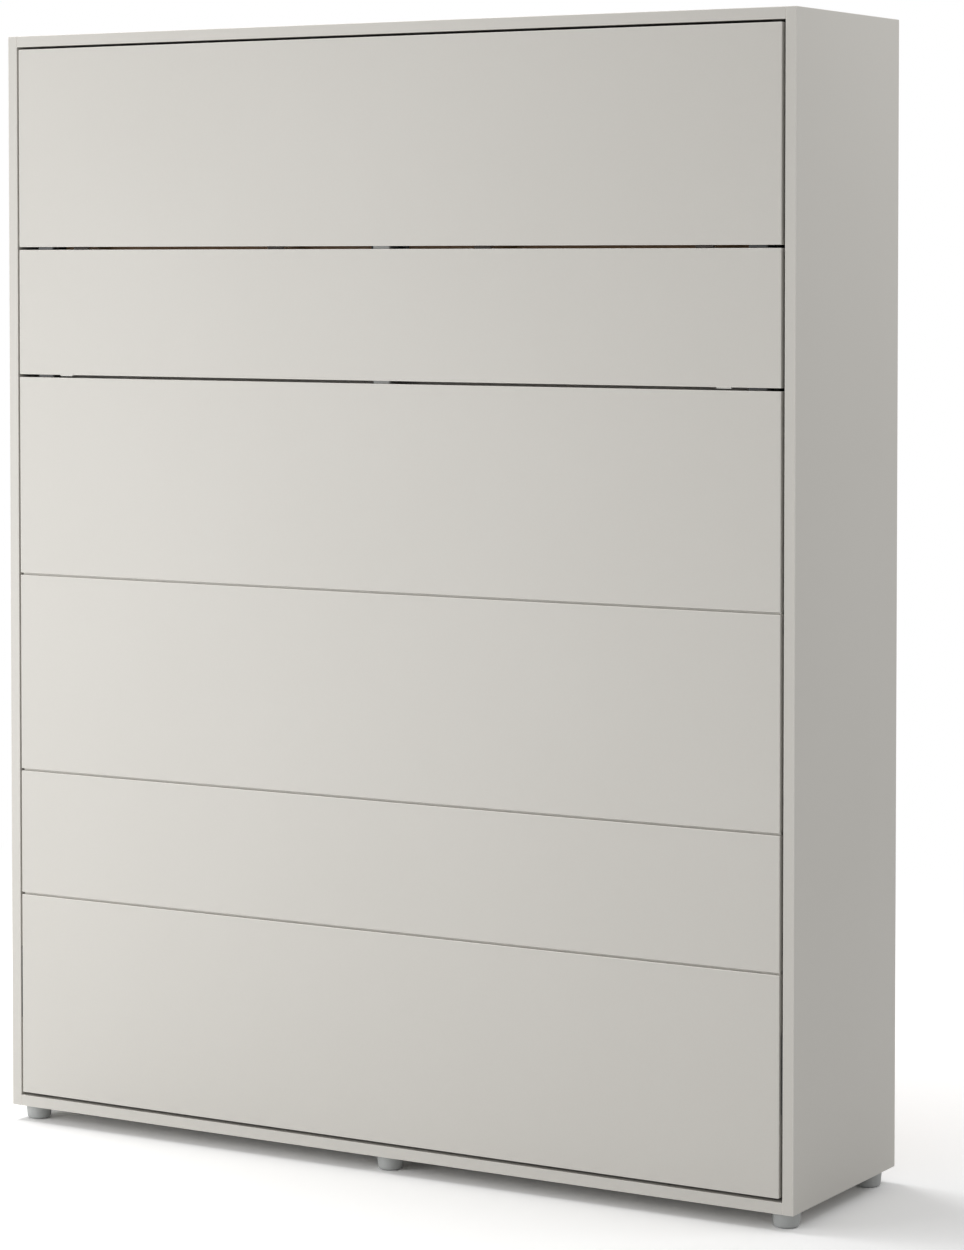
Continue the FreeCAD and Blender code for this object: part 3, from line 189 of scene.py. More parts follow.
def steamed_beech():
    """Beech strips, bent and glued from veneers. The grain is drawn out along X, with short dark flecks,
    and the edges show the glue lines of the veneers."""
    material, tree, shader = finish_of("steamed_beech", Roughness=0.48)
    place = add(tree, "ShaderNodeTexCoord").outputs["Object"]
    long_grain = add(tree, "ShaderNodeMapping", {"Vector": place, "Scale": (0.05, 1.0, 1.0)})
    grain = add(tree, "ShaderNodeTexNoise", {
        "Vector": long_grain.outputs[0], "Scale": per_metre(BEECH_GRAIN), "Detail": 5.0,
        "Roughness": 0.65, "Distortion": 0.4})
    fleck = add(tree, "ShaderNodeTexNoise", {
        "Vector": long_grain.outputs[0], "Scale": per_metre(BEECH_FLECK), "Detail": 1.0})
    spots = add(tree, "ShaderNodeMapRange", {
        "Value": fleck.outputs[0], "From Min": 0.62, "From Max": 0.72})
    veneer = add(tree, "ShaderNodeTexWave", {
        "Vector": place, "Scale": per_metre(VENEER) / WAVE_BANDS}, bands_direction="Y")
    lines = add(tree, "ShaderNodeMapRange", {
        "Value": veneer.outputs[1], "From Min": 0.0, "From Max": 0.12, "To Min": 0.35, "To Max": 0.0})
    wood = add(tree, "ShaderNodeMix", {
        FACTOR: grain.outputs[0], COLOUR_A: linear("#9a6c41"), COLOUR_B: linear("#c79a68")},
        data_type="RGBA")
    marked = add(tree, "ShaderNodeMix", {
        FACTOR: spots.outputs[0], COLOUR_A: wood.outputs[MIXED_COLOUR], COLOUR_B: linear("#8a5d38")},
        data_type="RGBA")
    colour = add(tree, "ShaderNodeMix", {
        FACTOR: lines.outputs[0], COLOUR_A: marked.outputs[MIXED_COLOUR], COLOUR_B: linear("#5d3d22")},
        data_type="RGBA")
    relief = add(tree, "ShaderNodeBump", {
        "Height": grain.outputs[0], "Strength": 0.2, "Distance": 0.3 * MM})
    feed(tree, shader, Base_Color=colour.outputs[MIXED_COLOUR], Normal=relief.outputs[0])
    return material


def powder_coated_steel(name, tone, shade, low=0.3, high=0.42):
    """Steel tube and plate with a baked powder coat. Its orange-peel ripple breaks up the soft
    highlights. low and high are the least and the most roughness."""
    material, tree, shader = finish_of(name, IOR=1.5)
    place = add(tree, "ShaderNodeTexCoord").outputs["Object"]
    peel = add(tree, "ShaderNodeTexNoise", {
        "Vector": place, "Scale": per_metre(ORANGE_PEEL), "Detail": 1.0})
    colour = add(tree, "ShaderNodeMix", {
        FACTOR: peel.outputs[0], COLOUR_A: linear(shade), COLOUR_B: linear(tone)}, data_type="RGBA")
    dull = add(tree, "ShaderNodeMapRange", {"Value": peel.outputs[0], "To Min": low, "To Max": high})
    relief = add(tree, "ShaderNodeBump", {
        "Height": peel.outputs[0], "Strength": 0.12, "Distance": 0.2 * MM})
    feed(tree, shader, Base_Color=colour.outputs[MIXED_COLOUR], Roughness=dull.outputs[0],
         Normal=relief.outputs[0])
    return material


def zinc_plated_steel():
    """Bright zinc on stamped steel: a bluish-grey metal with cloudy patches and faint drawing lines."""
    material, tree, shader = finish_of("zinc_plated_steel", Metallic=1.0)
    place = add(tree, "ShaderNodeTexCoord").outputs["Object"]
    cloud = add(tree, "ShaderNodeTexNoise", {
        "Vector": place, "Scale": per_metre(ZINC_CLOUD), "Detail": 3.0})
    drawn = add(tree, "ShaderNodeMapping", {"Vector": place, "Scale": (1.0, 1.0, 0.06)})
    lines = add(tree, "ShaderNodeTexNoise", {
        "Vector": drawn.outputs[0], "Scale": per_metre(DRAWING_LINE)})
    colour = add(tree, "ShaderNodeMix", {
        FACTOR: cloud.outputs[0], COLOUR_A: linear("#9fa4a8"), COLOUR_B: linear("#cfd0cd")},
        data_type="RGBA")
    dull = add(tree, "ShaderNodeMapRange", {"Value": lines.outputs[0], "To Min": 0.26, "To Max": 0.44})
    feed(tree, shader, Base_Color=colour.outputs[MIXED_COLOUR], Roughness=dull.outputs[0])
    return material


def hard_chrome_rod():
    """Ground and chromed steel rod: near-mirror, with fine polishing rings across its length."""
    material, tree, shader = finish_of("hard_chrome_rod", Metallic=1.0)
    place = add(tree, "ShaderNodeTexCoord").outputs["Object"]
    rings = add(tree, "ShaderNodeMapping", {"Vector": place, "Scale": (0.1, 0.1, 1.0)})
    polish = add(tree, "ShaderNodeTexNoise", {
        "Vector": rings.outputs[0], "Scale": per_metre(POLISH_RING)})
    colour = add(tree, "ShaderNodeMix", {
        FACTOR: polish.outputs[0], COLOUR_A: linear("#c9cbce"), COLOUR_B: linear("#e0e1e2")},
        data_type="RGBA")
    dull = add(tree, "ShaderNodeMapRange", {"Value": polish.outputs[0], "To Min": 0.06, "To Max": 0.14})
    feed(tree, shader, Base_Color=colour.outputs[MIXED_COLOUR], Roughness=dull.outputs[0])
    return material


def moulded_plastic(name, tone, shade, grit, low, high):
    """Injection-moulded plastic with the spark-eroded grain of its tool, drawn at the grit's own size.
    low and high are the least and the most roughness."""
    material, tree, shader = finish_of(name, IOR=1.49)
    place = add(tree, "ShaderNodeTexCoord").outputs["Object"]
    grain = add(tree, "ShaderNodeTexNoise", {"Vector": place, "Scale": per_metre(grit), "Detail": 2.0})
    flow = add(tree, "ShaderNodeTexNoise", {
        "Vector": place, "Scale": per_metre(MOULD_FLOW), "Detail": 1.0})
    both = add(tree, "ShaderNodeMix", {
        FACTOR: 0.5, NUMBER_A: grain.outputs[0], NUMBER_B: flow.outputs[0]})
    colour = add(tree, "ShaderNodeMix", {
        FACTOR: both.outputs[MIXED_NUMBER], COLOUR_A: linear(shade), COLOUR_B: linear(tone)},
        data_type="RGBA")
    dull = add(tree, "ShaderNodeMapRange", {"Value": grain.outputs[0], "To Min": low, "To Max": high})
    relief = add(tree, "ShaderNodeBump", {
        "Height": grain.outputs[0], "Strength": 0.2, "Distance": 0.2 * MM})
    feed(tree, shader, Base_Color=colour.outputs[MIXED_COLOUR], Roughness=dull.outputs[0],
         Normal=relief.outputs[0])
    return material


def knitted_ticking(name, light, dark, loop):
    """Knitted polyester cover over padding. Rows of loops give it a soft broken surface, and the fibres
    a pale sheen at grazing angles. loop is the height of a row."""
    material, tree, shader = finish_of(name, Roughness=0.88, Sheen_Weight=0.25, Sheen_Roughness=0.5)
    place = add(tree, "ShaderNodeTexCoord").outputs["Object"]
    rows = add(tree, "ShaderNodeTexWave", {
        "Vector": place, "Scale": per_metre(loop) / WAVE_BANDS, "Distortion": 1.5, "Detail": 1.0,
        "Detail Scale": 2.0}, bands_direction="Z")
    loops = add(tree, "ShaderNodeTexVoronoi", {"Vector": place, "Scale": per_metre(loop)})
    knit = add(tree, "ShaderNodeMix", {
        FACTOR: 0.5, NUMBER_A: rows.outputs[1], NUMBER_B: loops.outputs[0]})
    cloud = add(tree, "ShaderNodeTexNoise", {
        "Vector": place, "Scale": per_metre(KNIT_CLOUD), "Detail": 2.0})
    both = add(tree, "ShaderNodeMix", {
        FACTOR: 0.35, NUMBER_A: knit.outputs[MIXED_NUMBER], NUMBER_B: cloud.outputs[0]})
    colour = add(tree, "ShaderNodeMix", {
        FACTOR: both.outputs[MIXED_NUMBER], COLOUR_A: linear(dark), COLOUR_B: linear(light)},
        data_type="RGBA")
    relief = add(tree, "ShaderNodeBump", {
        "Height": knit.outputs[MIXED_NUMBER], "Strength": 0.35, "Distance": 0.6 * MM})
    feed(tree, shader, Base_Color=colour.outputs[MIXED_COLOUR], Normal=relief.outputs[0])
    return material


def herringbone_webbing():
    """Woven polyester webbing. Its ribs follow the piece's own UV map, in metres along and across, so
    the herringbone turns with the strap at each bend."""
    material, tree, shader = finish_of("herringbone_webbing", Roughness=0.8, Sheen_Weight=0.2)
    place = add(tree, "ShaderNodeUVMap", uv_map="weave").outputs[0]
    parts = add(tree, "ShaderNodeSeparateXYZ", {0: place})
    fold = add(tree, "ShaderNodeMath", {
        0: parts.outputs["Y"], 1: HERRINGBONE_HALF * MM}, operation="PINGPONG")
    slant = add(tree, "ShaderNodeMath", {0: parts.outputs["X"], 1: fold.outputs[0]}, operation="ADD")
    turns = add(tree, "ShaderNodeMath", {
        0: slant.outputs[0], 1: FULL_TURN * per_metre(WEBBING_PICK)}, operation="MULTIPLY")
    wave = add(tree, "ShaderNodeMath", {0: turns.outputs[0]}, operation="SINE")
    rib = add(tree, "ShaderNodeMapRange", {"Value": wave.outputs[0], "From Min": -1.0, "From Max": 1.0})
    colour = add(tree, "ShaderNodeMix", {
        FACTOR: rib.outputs[0], COLOUR_A: linear("#323336"), COLOUR_B: linear("#4b4c4f")},
        data_type="RGBA")
    relief = add(tree, "ShaderNodeBump", {
        "Height": rib.outputs[0], "Strength": 0.5, "Distance": 0.5 * MM})
    feed(tree, shader, Base_Color=colour.outputs[MIXED_COLOUR], Normal=relief.outputs[0])
    return material


def moulded_rubber():
    """Black moulded rubber: dull, with a dusty bloom in patches."""
    material, tree, shader = finish_of("moulded_rubber", IOR=1.5)
    place = add(tree, "ShaderNodeTexCoord").outputs["Object"]
    bloom = add(tree, "ShaderNodeTexNoise", {
        "Vector": place, "Scale": per_metre(RUBBER_BLOOM), "Detail": 3.0})
    colour = add(tree, "ShaderNodeMix", {
        FACTOR: bloom.outputs[0], COLOUR_A: linear("#1d1d1d"), COLOUR_B: linear("#34332f")},
        data_type="RGBA")
    dull = add(tree, "ShaderNodeMapRange", {"Value": bloom.outputs[0], "To Min": 0.7, "To Max": 0.9})
    feed(tree, shader, Base_Color=colour.outputs[MIXED_COLOUR], Roughness=dull.outputs[0])
    return material


# Surfaces on grids

# Box corners that agree to this many decimals of a metre are one point.
WELD_DIGITS = 6
# Points round each swollen edge of a piece of webbing.
EDGE_STEPS = 5


def mesh_piece(name, points, faces, material, body):
    """An object at the origin from an array of points and a list of faces, riding on a body."""
    mesh = bpy.data.meshes.new(name)
    mesh.from_pydata(points.tolist(), [], faces)
    mesh.shade_smooth()
    mesh.materials.append(material)
    piece = bpy.data.objects.new(name, mesh)
    bpy.context.scene.collection.objects.link(piece)
    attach(piece, body)
    return piece


def grid_faces(rows, columns, round_rows, round_columns):
    """Four-sided faces of a grid of points, closed on itself along either way where asked."""
    index = np.arange(rows * columns).reshape(rows, columns)
    if round_rows:
        index = np.concatenate([index, index[:1]], 0)
    if round_columns:
        index = np.concatenate([index, index[:, :1]], 1)
    corners = (index[:-1, :-1], index[1:, :-1], index[1:, 1:], index[:-1, 1:])
    return np.stack(corners, -1).reshape(-1, 4)


def box_skin(lines):
    """The six faces of a box as one welded skin, from the places of its grid lines along X, Y and Z."""
    points = []
    faces = []
    count = 0
    for axis in range(3):
        first, second = (axis + 1) % 3, (axis + 2) % 3
        across, along = np.meshgrid(lines[first], lines[second], indexing="ij")
        quads = grid_faces(*across.shape, False, False)
        for end, turn in ((0, -1), (-1, 1)):
            side = np.full((across.size, 3), lines[axis][end])
            side[:, first] = across.ravel()
            side[:, second] = along.ravel()
            points.append(side)
            faces.append(quads[:, ::turn] + count)
            count += across.size
    rounded = np.round(np.concatenate(points), WELD_DIGITS)
    places, same = np.unique(rounded, axis=0, return_inverse=True)
    return places, same.ravel()[np.concatenate(faces)]


def soften(points, half, corner, edge):
    """Round a box skin about its own middle: square corners in XZ go to arcs of the corner radius, and
    the square between a face and the border goes to an arc of the edge radius. Either way a place in
    the square keeps its longer part as its distance from the arc's middle."""
    flat = points[:, [0, 2]]
    core = np.clip(flat, -(half[[0, 2]] - corner), half[[0, 2]] - corner)
    out = flat - core
    way = out / np.maximum(np.linalg.norm(out, axis=1), TINY)[:, None]
    reach = np.abs(out).max(1)
    beyond = np.clip((reach - corner + edge) / edge, 0, None)
    rise = np.clip((np.abs(points[:, 1]) - half[1] + edge) / edge, 0, None)
    both = (beyond > 0) & (rise > 0)
    shrink = np.where(both, np.maximum(beyond, rise) / np.maximum(np.hypot(beyond, rise), TINY), 1)
    reach = np.where(both, corner - edge + edge * beyond * shrink, reach)
    height = np.where(both, half[1] - edge + edge * rise * shrink, np.abs(points[:, 1]))
    moved = points.copy()
    moved[:, [0, 2]] = core + way * reach[:, None]
    moved[:, 1] = np.sign(points[:, 1]) * height
    return moved


def ring_path(half_x, half_z, corner, steps):
    """A rectangle with round corners in XZ: each corner is a quarter circle, and the straight runs join
    their ends. Also the direction away from the middle at each point."""
    turn = np.linspace(0, QUARTER_TURN, steps)
    angle = np.concatenate([turn + quarter * QUARTER_TURN for quarter in range(4)])
    side_x = np.repeat([1, -1, -1, 1], steps)
    side_z = np.repeat([1, 1, -1, -1], steps)
    outward = np.stack([np.cos(angle), np.sin(angle)], 1)
    middle = np.stack([side_x * (half_x - corner), side_z * (half_z - corner)], 1)
    return middle + corner * outward, outward


def cord_ring(middle, half_x, half_z, corner, radius, steps, sides):
    """A round cord bent into a rectangle: a circle carried along the ring path, at one depth Y."""
    path, outward = ring_path(half_x, half_z, corner, steps)
    angle = np.arange(sides) * FULL_TURN / sides
    reach = radius * np.cos(angle)
    points = np.empty((len(path), sides, 3))
    points[..., 0] = middle[0] + path[:, None, 0] + outward[:, None, 0] * reach
    points[..., 1] = middle[1] - radius * np.sin(angle)
    points[..., 2] = middle[2] + path[:, None, 1] + outward[:, None, 1] * reach
    return points.reshape(-1, 3), grid_faces(len(path), sides, True, True)


def band(path, normal, width, thickness, middle, order):
    """Flat webbing: a thin section carried along a path, whose long edges swell to half circles, with
    both ends closed. order gives the world axes of the path's two coordinates and of the width. The
    weave map holds the length along and the place across."""
    lean = np.linspace(-QUARTER_TURN, QUARTER_TURN, EDGE_STEPS)
    half = thickness / 2
    flat = width / 2 - half
    across = np.concatenate([flat + half * np.cos(lean), -flat - half * np.cos(lean)])
    lift = np.concatenate([half * np.sin(lean), -half * np.sin(lean)])
    points = np.empty((len(path), len(across), 3))
    points[..., order[0]] = path[:, None, 0] + normal[:, None, 0] * lift
    points[..., order[1]] = path[:, None, 1] + normal[:, None, 1] * lift
    points[..., order[2]] = middle + across
    along = np.concatenate([[0], np.cumsum(np.linalg.norm(np.diff(path, axis=0), axis=1))])
    weave = np.stack(np.broadcast_arrays(along[:, None], across), -1)
    start = np.arange(len(across))
    ends = [start.tolist(), (start[::-1] + (len(path) - 1) * len(across)).tolist()]
    faces = grid_faces(len(path), len(across), False, True).tolist() + ends
    return points.reshape(-1, 3), faces, weave.reshape(-1, 2)


def webbing_piece(name, webbing, *shape):
    """A band of webbing on the bed, with the UV map that its weave follows."""
    points, faces, weave = band(*shape)
    piece = mesh_piece(name, points, faces, webbing, "bed")
    layer = piece.data.uv_layers.new(name="weave")
    corner = np.empty(len(piece.data.loops), np.int32)
    piece.data.loops.foreach_get("vertex_index", corner)
    layer.data.foreach_set("uv", weave[corner].astype(np.float32).ravel())
    return piece


def normals_of(path):
    """Unit directions square to a path in its own plane, to its left."""
    way = np.gradient(path, axis=0)
    way = way / np.linalg.norm(way, axis=1)[:, None]
    return np.stack([-way[:, 1], way[:, 0]], 1)


# Mattress

MATTRESS_LOW, MATTRESS_HIGH = (np.array(end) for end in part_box("mattress"))
# The cover starts smaller than the mattress, with room to fill at its sides and at the sleeping face,
# which is +Y. Its underside lies on the slats.
SKIN_LOW = MATTRESS_LOW + np.array([6, 0.4, 6]) * MM
SKIN_HIGH = MATTRESS_HIGH - np.array([6, 5, 6]) * MM
MATTRESS_MIDDLE = (SKIN_LOW + SKIN_HIGH) / 2
MATTRESS_HALF = (SKIN_HIGH - SKIN_LOW) / 2
FILLED_GAP = 0.3 * MM
MATTRESS_CORNER = 60 * MM
MATTRESS_EDGE = 24 * MM
CLOTH_CELL = 18 * MM
RIM_CELLS = 1
QUILT_CELLS = 10
STITCH_DEPTH = 6 * MM
PUFF = 13 * MM
CLOTH_FRAMES = 20
CLOTH_SETTINGS = {
    "quality": 6, "mass": 0.4, "tension_stiffness": 8, "compression_stiffness": 8, "shear_stiffness": 4,
    "bending_stiffness": 0.5, "use_pressure": True, "uniform_pressure_force": 4,
    "vertex_group_mass": "sewn"}
PIPING_RADIUS = 4.5 * MM
PIPING_INSET = 16 * MM
PIPING_STAND = 1 * MM
PIPING_STEPS = 12
PIPING_SIDES = 10
HANDLE_LENGTH = 180 * MM
HANDLE_WIDTH = 26 * MM
HANDLE_THICKNESS = 2 * MM
HANDLE_RISE = 12 * MM
HANDLE_TUCK = 2 * MM
HANDLE_STEPS = 33
# The share of a handle that isn't sewn down, and the handles' places as shares of the mattress's length.
HANDLE_FREE = 0.72
HANDLE_PLACES = {"low": 0.42, "high": 0.67}


def quilted_skin():
    """The mattress cover at rest, which points are sewn, and which faces are the border. The stitches
    run along both diagonals of the sleeping face, every so many cells, and pull it down; the rim and
    underside are held."""
    counts = np.round(2 * MATTRESS_HALF / CLOTH_CELL).astype(int)
    lines = [np.linspace(-reach, reach, count + 1) for reach, count in zip(MATTRESS_HALF, counts)]
    square, faces = box_skin(lines)
    cells = np.round((square + MATTRESS_HALF) / (2 * MATTRESS_HALF) * counts).astype(int)
    up = (cells[:, 0] + cells[:, 2]) % QUILT_CELLS == 0
    down = (cells[:, 0] - cells[:, 2]) % QUILT_CELLS == 0
    margin = np.minimum(cells, counts - cells)[:, [0, 2]].min(1)
    on_top = cells[:, 1] == counts[1]
    stitched = on_top & (up | down) & (margin > RIM_CELLS)
    sewn = stitched | (on_top & (margin == RIM_CELLS)) | (cells[:, 1] <= RIM_CELLS)
    level = square[faces][..., 1]
    border = (np.ptp(level, axis=1) > 0) & (np.abs(level).max(1) < MATTRESS_HALF[1])
    points = soften(square, MATTRESS_HALF, MATTRESS_CORNER, MATTRESS_EDGE)
    points[stitched, 1] -= STITCH_DEPTH
    return points, faces, sewn, border


def puffed(piece, points, sewn):
    """Let air pressure fill the cover between its stitches, and give back the points where they end.
    No point moves further than the puff."""
    group = piece.vertex_groups.new(name="sewn")
    group.add(np.flatnonzero(sewn).tolist(), 1.0, "REPLACE")
    cloth = piece.modifiers.new("filling", "CLOTH")
    for name, setting in CLOTH_SETTINGS.items():
        setattr(cloth.settings, name, setting)
    cloth.settings.effector_weights.gravity = 0
    cloth.collision_settings.use_collision = False
    cloth.collision_settings.use_self_collision = False
    scene = bpy.context.scene
    cloth.point_cache.frame_start = 1
    cloth.point_cache.frame_end = CLOTH_FRAMES
    for step in range(CLOTH_FRAMES):
        scene.frame_set(step + 1)
    filled = piece.evaluated_get(bpy.context.evaluated_depsgraph_get()).data
    ended = np.empty(len(points) * 3, np.float32)
    filled.vertices.foreach_get("co", ended)
    piece.modifiers.remove(cloth)
    scene.frame_set(1)
    move = ended.reshape(-1, 3) - points
    length = np.maximum(np.linalg.norm(move, axis=1), TINY)
    return points + move * np.minimum(1, PUFF / length)[:, None]


def make_handles(webbing):
    """Two carrying handles on each long side: webbing that is sewn down at both ends and stands off the
    border between them, as one rise and fall of a cosine."""
    reach = np.linspace(-1, 1, HANDLE_STEPS)
    free = np.abs(reach) < HANDLE_FREE
    stand = np.clip((1 + np.cos(np.pi * reach / HANDLE_FREE)) / 2 * free, 0, 1)
    length = MATTRESS_HIGH[2] - MATTRESS_LOW[2]
    for word, side in SIDES.items():
        for row, share in HANDLE_PLACES.items():
            along = MATTRESS_LOW[2] + share * length - side * reach * HANDLE_LENGTH / 2
            out = side * (MATTRESS_HIGH[0] - HANDLE_TUCK + HANDLE_RISE * stand)
            path = np.stack([along, out], 1)
            webbing_piece(f"mattress_handle_{word}_{row}", webbing, path, normals_of(path),
                          HANDLE_WIDTH, HANDLE_THICKNESS, MATTRESS_MIDDLE[1], (2, 0, 1))


def make_mattress(cover, side_cover, cord, webbing):
    """Quilted cover with a grey border, a piped seam all round at its top and underside, and handles."""
    points, faces, sewn, border = quilted_skin()
    points = points + MATTRESS_MIDDLE
    piece = mesh_piece("mattress_cover", points, faces.tolist(), cover, "bed")
    piece.data.materials.append(side_cover)
    piece.data.polygons.foreach_set("material_index", border.astype(np.int32))
    moved = puffed(piece, points, sewn)
    moved = np.clip(moved, MATTRESS_LOW + FILLED_GAP, MATTRESS_HIGH - FILLED_GAP)
    piece.data.vertices.foreach_set("co", moved.astype(np.float32).ravel())
    piece.data.update()
    smooth = piece.modifiers.new("smooth", "SUBSURF")
    smooth.levels = smooth.render_levels = 1
    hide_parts("mattress")
    reach = MATTRESS_HALF + PIPING_STAND
    depths = {"top": MATTRESS_HIGH[1] - PIPING_INSET, "under": MATTRESS_LOW[1] + PIPING_INSET}
    for word, depth in depths.items():
        middle = (MATTRESS_MIDDLE[0], depth, MATTRESS_MIDDLE[2])
        ring, quads = cord_ring(middle, reach[0], reach[2], MATTRESS_CORNER, PIPING_RADIUS,
                                PIPING_STEPS, PIPING_SIDES)
        mesh_piece(f"mattress_piping_{word}", ring, quads.tolist(), cord, "bed")
    make_handles(webbing)


# Straps

STRAP_THICKNESS = 2.2 * MM
STRAP_BEND = 28 * MM
STRAP_BEND_STEPS = 12
RUN_STEPS = 24
# A strap ends in a tab on each side rail, this far from the bed's middle.
TAB_END = 815.5 * MM
TAB_BEND = 3 * MM
TAB_BEND_STEPS = 7
TAIL_LENGTH = 160 * MM
TAIL_START = 14 * MM
TAIL_HUMP = 7 * MM
TAIL_STEPS = 60
# The slide is two loops side by side that share its middle bar, this far from the bed's middle.
SLIDE_PLACE = 300 * MM
SLIDE_BAR = 2 * MM
SLIDE_RISE = 5.5 * MM
SLIDE_OFFSET = 7.5 * MM
SLIDE_HALF = 8.5 * MM
SLIDE_MARGIN = 5 * MM
SLIDE_CORNER = 5 * MM
SLIDE_STEPS = 6
SLIDE_SIDES = 10
HEAD_RADIUS = 5 * MM
HEAD_RISE = 2.4 * MM
HEAD_INSET = 0.9 * HEAD_RADIUS
HEAD_SIDES = 16
# A head's foot, rim, shoulder and crown, as shares of its radius and rise.
HEAD_RADII = np.array([1.0, 1.0, 0.8, 0.35])[:, None] * HEAD_RADIUS
HEAD_RISES = np.array([-0.2, 0.35, 0.8, 1.0])[:, None] * HEAD_RISE


def arc(middle, radius, start, end, steps):
    """Points on a circle in XY from one angle to another, and the directions from its middle."""
    angle = np.linspace(start, end, steps)
    way = np.stack([np.cos(angle), np.sin(angle)], 1)
    return np.array(middle) + radius * way, way


def strap_path(reach, top, foot):
    """A strap's line: a tab on the rail, a tight bend up, the mattress's side, a wide bend over its edge
    and the run to the middle, where the other half mirrors it. Also the direction that its outer face
    looks in at each point."""
    tab = np.array([[TAB_END, foot], [reach + 2 * TAB_BEND, foot]])
    tab_way = np.array([[0.0, 1.0], [0.0, 1.0]])
    bend, bend_way = arc((reach + TAB_BEND, foot + TAB_BEND), TAB_BEND,
                         -QUARTER_TURN, -2 * QUARTER_TURN, TAB_BEND_STEPS)
    edge, edge_way = arc((reach - STRAP_BEND, top - STRAP_BEND), STRAP_BEND,
                         0, QUARTER_TURN, STRAP_BEND_STEPS)
    run_x = np.linspace(reach - STRAP_BEND, 0, RUN_STEPS)[1:]
    run = np.stack([run_x, np.full_like(run_x, top)], 1)
    run_way = np.tile([0.0, 1.0], (len(run), 1))
    path = np.concatenate([tab, bend, edge, run])
    way = np.concatenate([tab_way, -bend_way, edge_way, run_way])
    mirror = np.array([-1, 1])
    return np.concatenate([path * mirror, path[-2::-1]]), np.concatenate([way * mirror, way[-2::-1]])


def domed_head(middle):
    """A screw's head in four rings about the Y axis, closed by one face on the crown and one below the
    foot."""
    angle = np.arange(HEAD_SIDES) * FULL_TURN / HEAD_SIDES
    points = np.empty((len(HEAD_RISES), HEAD_SIDES, 3))
    points[..., 0] = middle[0] + HEAD_RADII * np.cos(angle)
    points[..., 1] = middle[1] + HEAD_RISES
    points[..., 2] = middle[2] - HEAD_RADII * np.sin(angle)
    start = np.arange(HEAD_SIDES)
    ends = [start[::-1].tolist(), (start + (len(HEAD_RISES) - 1) * HEAD_SIDES).tolist()]
    walls = grid_faces(len(HEAD_RISES), HEAD_SIDES, False, True)[:, ::-1]
    return points.reshape(-1, 3), walls.tolist() + ends


def make_strap(word, webbing, plastic, steel):
    """One webbing strap, the slide that holds its doubled tail, and the screws of its two tabs. The tail
    rises over the slide's middle bar as a bell curve and then lies on the strap."""
    low, high = (np.array(end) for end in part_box(f"mattress_strap_{word}"))
    width = high[2] - low[2]
    height = (low[2] + high[2]) / 2
    top = high[1] - STRAP_THICKNESS / 2
    foot = low[1] + STRAP_THICKNESS / 2
    section = (width, STRAP_THICKNESS, height, (0, 1, 2))
    path, way = strap_path(high[0] - STRAP_THICKNESS / 2, top, foot)
    strap = webbing_piece(f"strap_{word}", webbing, path, way, *section)
    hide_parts(f"mattress_strap_{word}")
    reach = np.linspace(-TAIL_LENGTH, TAIL_START, TAIL_STEPS)
    hump = (SLIDE_RISE + SLIDE_BAR - STRAP_THICKNESS / 2) * np.exp(-(reach / TAIL_HUMP) ** 2)
    path = np.stack([SLIDE_PLACE + reach, top + (STRAP_THICKNESS + hump)], 1)
    webbing_piece(f"strap_tail_{word}", webbing, path, normals_of(path), *section)
    loops = [cord_ring((SLIDE_PLACE + side * SLIDE_OFFSET, top + SLIDE_RISE, height), SLIDE_HALF,
                       width / 2 + SLIDE_MARGIN, SLIDE_CORNER, SLIDE_BAR, SLIDE_STEPS, SLIDE_SIDES)
             for side in SIDES.values()]
    points = np.concatenate([ring for ring, quads in loops])
    faces = np.concatenate([loops[0][1], loops[1][1] + len(loops[0][0])])
    mesh_piece(f"strap_slide_{word}", points, faces.tolist(), plastic, "bed")
    for side, sign in SIDES.items():
        points, faces = domed_head((sign * (TAB_END - HEAD_INSET), foot + STRAP_THICKNESS / 2, height))
        mesh_piece(f"strap_screw_{word}_{side}", points, faces, steel, "bed")


# Finishes of the CAD nodes, and the new pieces


def dress(material, *names):
    """Give CAD nodes a finish."""
    for name in names:
        nodes[name].data.materials.clear()
        nodes[name].data.materials.append(material)


def pairs(*words):
    """The names of nodes that come in a left and a right one."""
    return [f"{word}_{side}" for word in words for side in SIDES]


# The third colour is a painted highlight for the boards' rounded edges.
dress(melamine_board("melamine_board_grey", "#d0cdc7", "#c8c5be", "#e6e3dd"),
      "top_panel", "bottom_panel", "leg_board", *pairs("side_panel", "stop_block"),
      *(f"back_rail_{place}" for place in ("top", "middle", "bottom")),
      *(f"front_board_{number}" for number in ("one", "three", "four", "five", "six")))
dress(lacquered_fibreboard(), "back_sheet_upper", "back_sheet_lower")
dress(steamed_beech(), "carcass_dowels", *pairs("slats"))
dress(powder_coated_steel("powder_coat_graphite", "#454647", "#3a3b3c"),
      "head_tube", "foot_tube", "mattress_bow_head", "mattress_bow_foot",
      *pairs("side_rail", "lever_plate", "hinge_plate"))
dress(powder_coated_steel("powder_coat_grey", "#b9bab8", "#adaeac"), "center_rail")
dress(powder_coated_steel("brown_hinge_enamel", "#2b2119", "#211912", low=0.7, high=0.85),
      "leg_hinge_fixed_leaves", "leg_hinge_moving_leaves", "leg_hinge_pins")
zinc = zinc_plated_steel()
dress(zinc, "foot_screws", "hardware_screws", "panel_screws", *pairs("pivot_pin", "strut_anchor"))
dress(moulded_plastic("moulded_foot_plastic", "#babcbb", "#a9abaa", grit=1.5, low=0.42, high=0.55),
      "foot_front_middle", "foot_back_middle", *pairs("foot_front", "foot_back"))
black_acetal = moulded_plastic("black_acetal", "#2b2b2b", "#1d1d1d", grit=2.0, low=0.35, high=0.5)
dress(black_acetal, "slat_holders", *pairs("hinge_bush"))
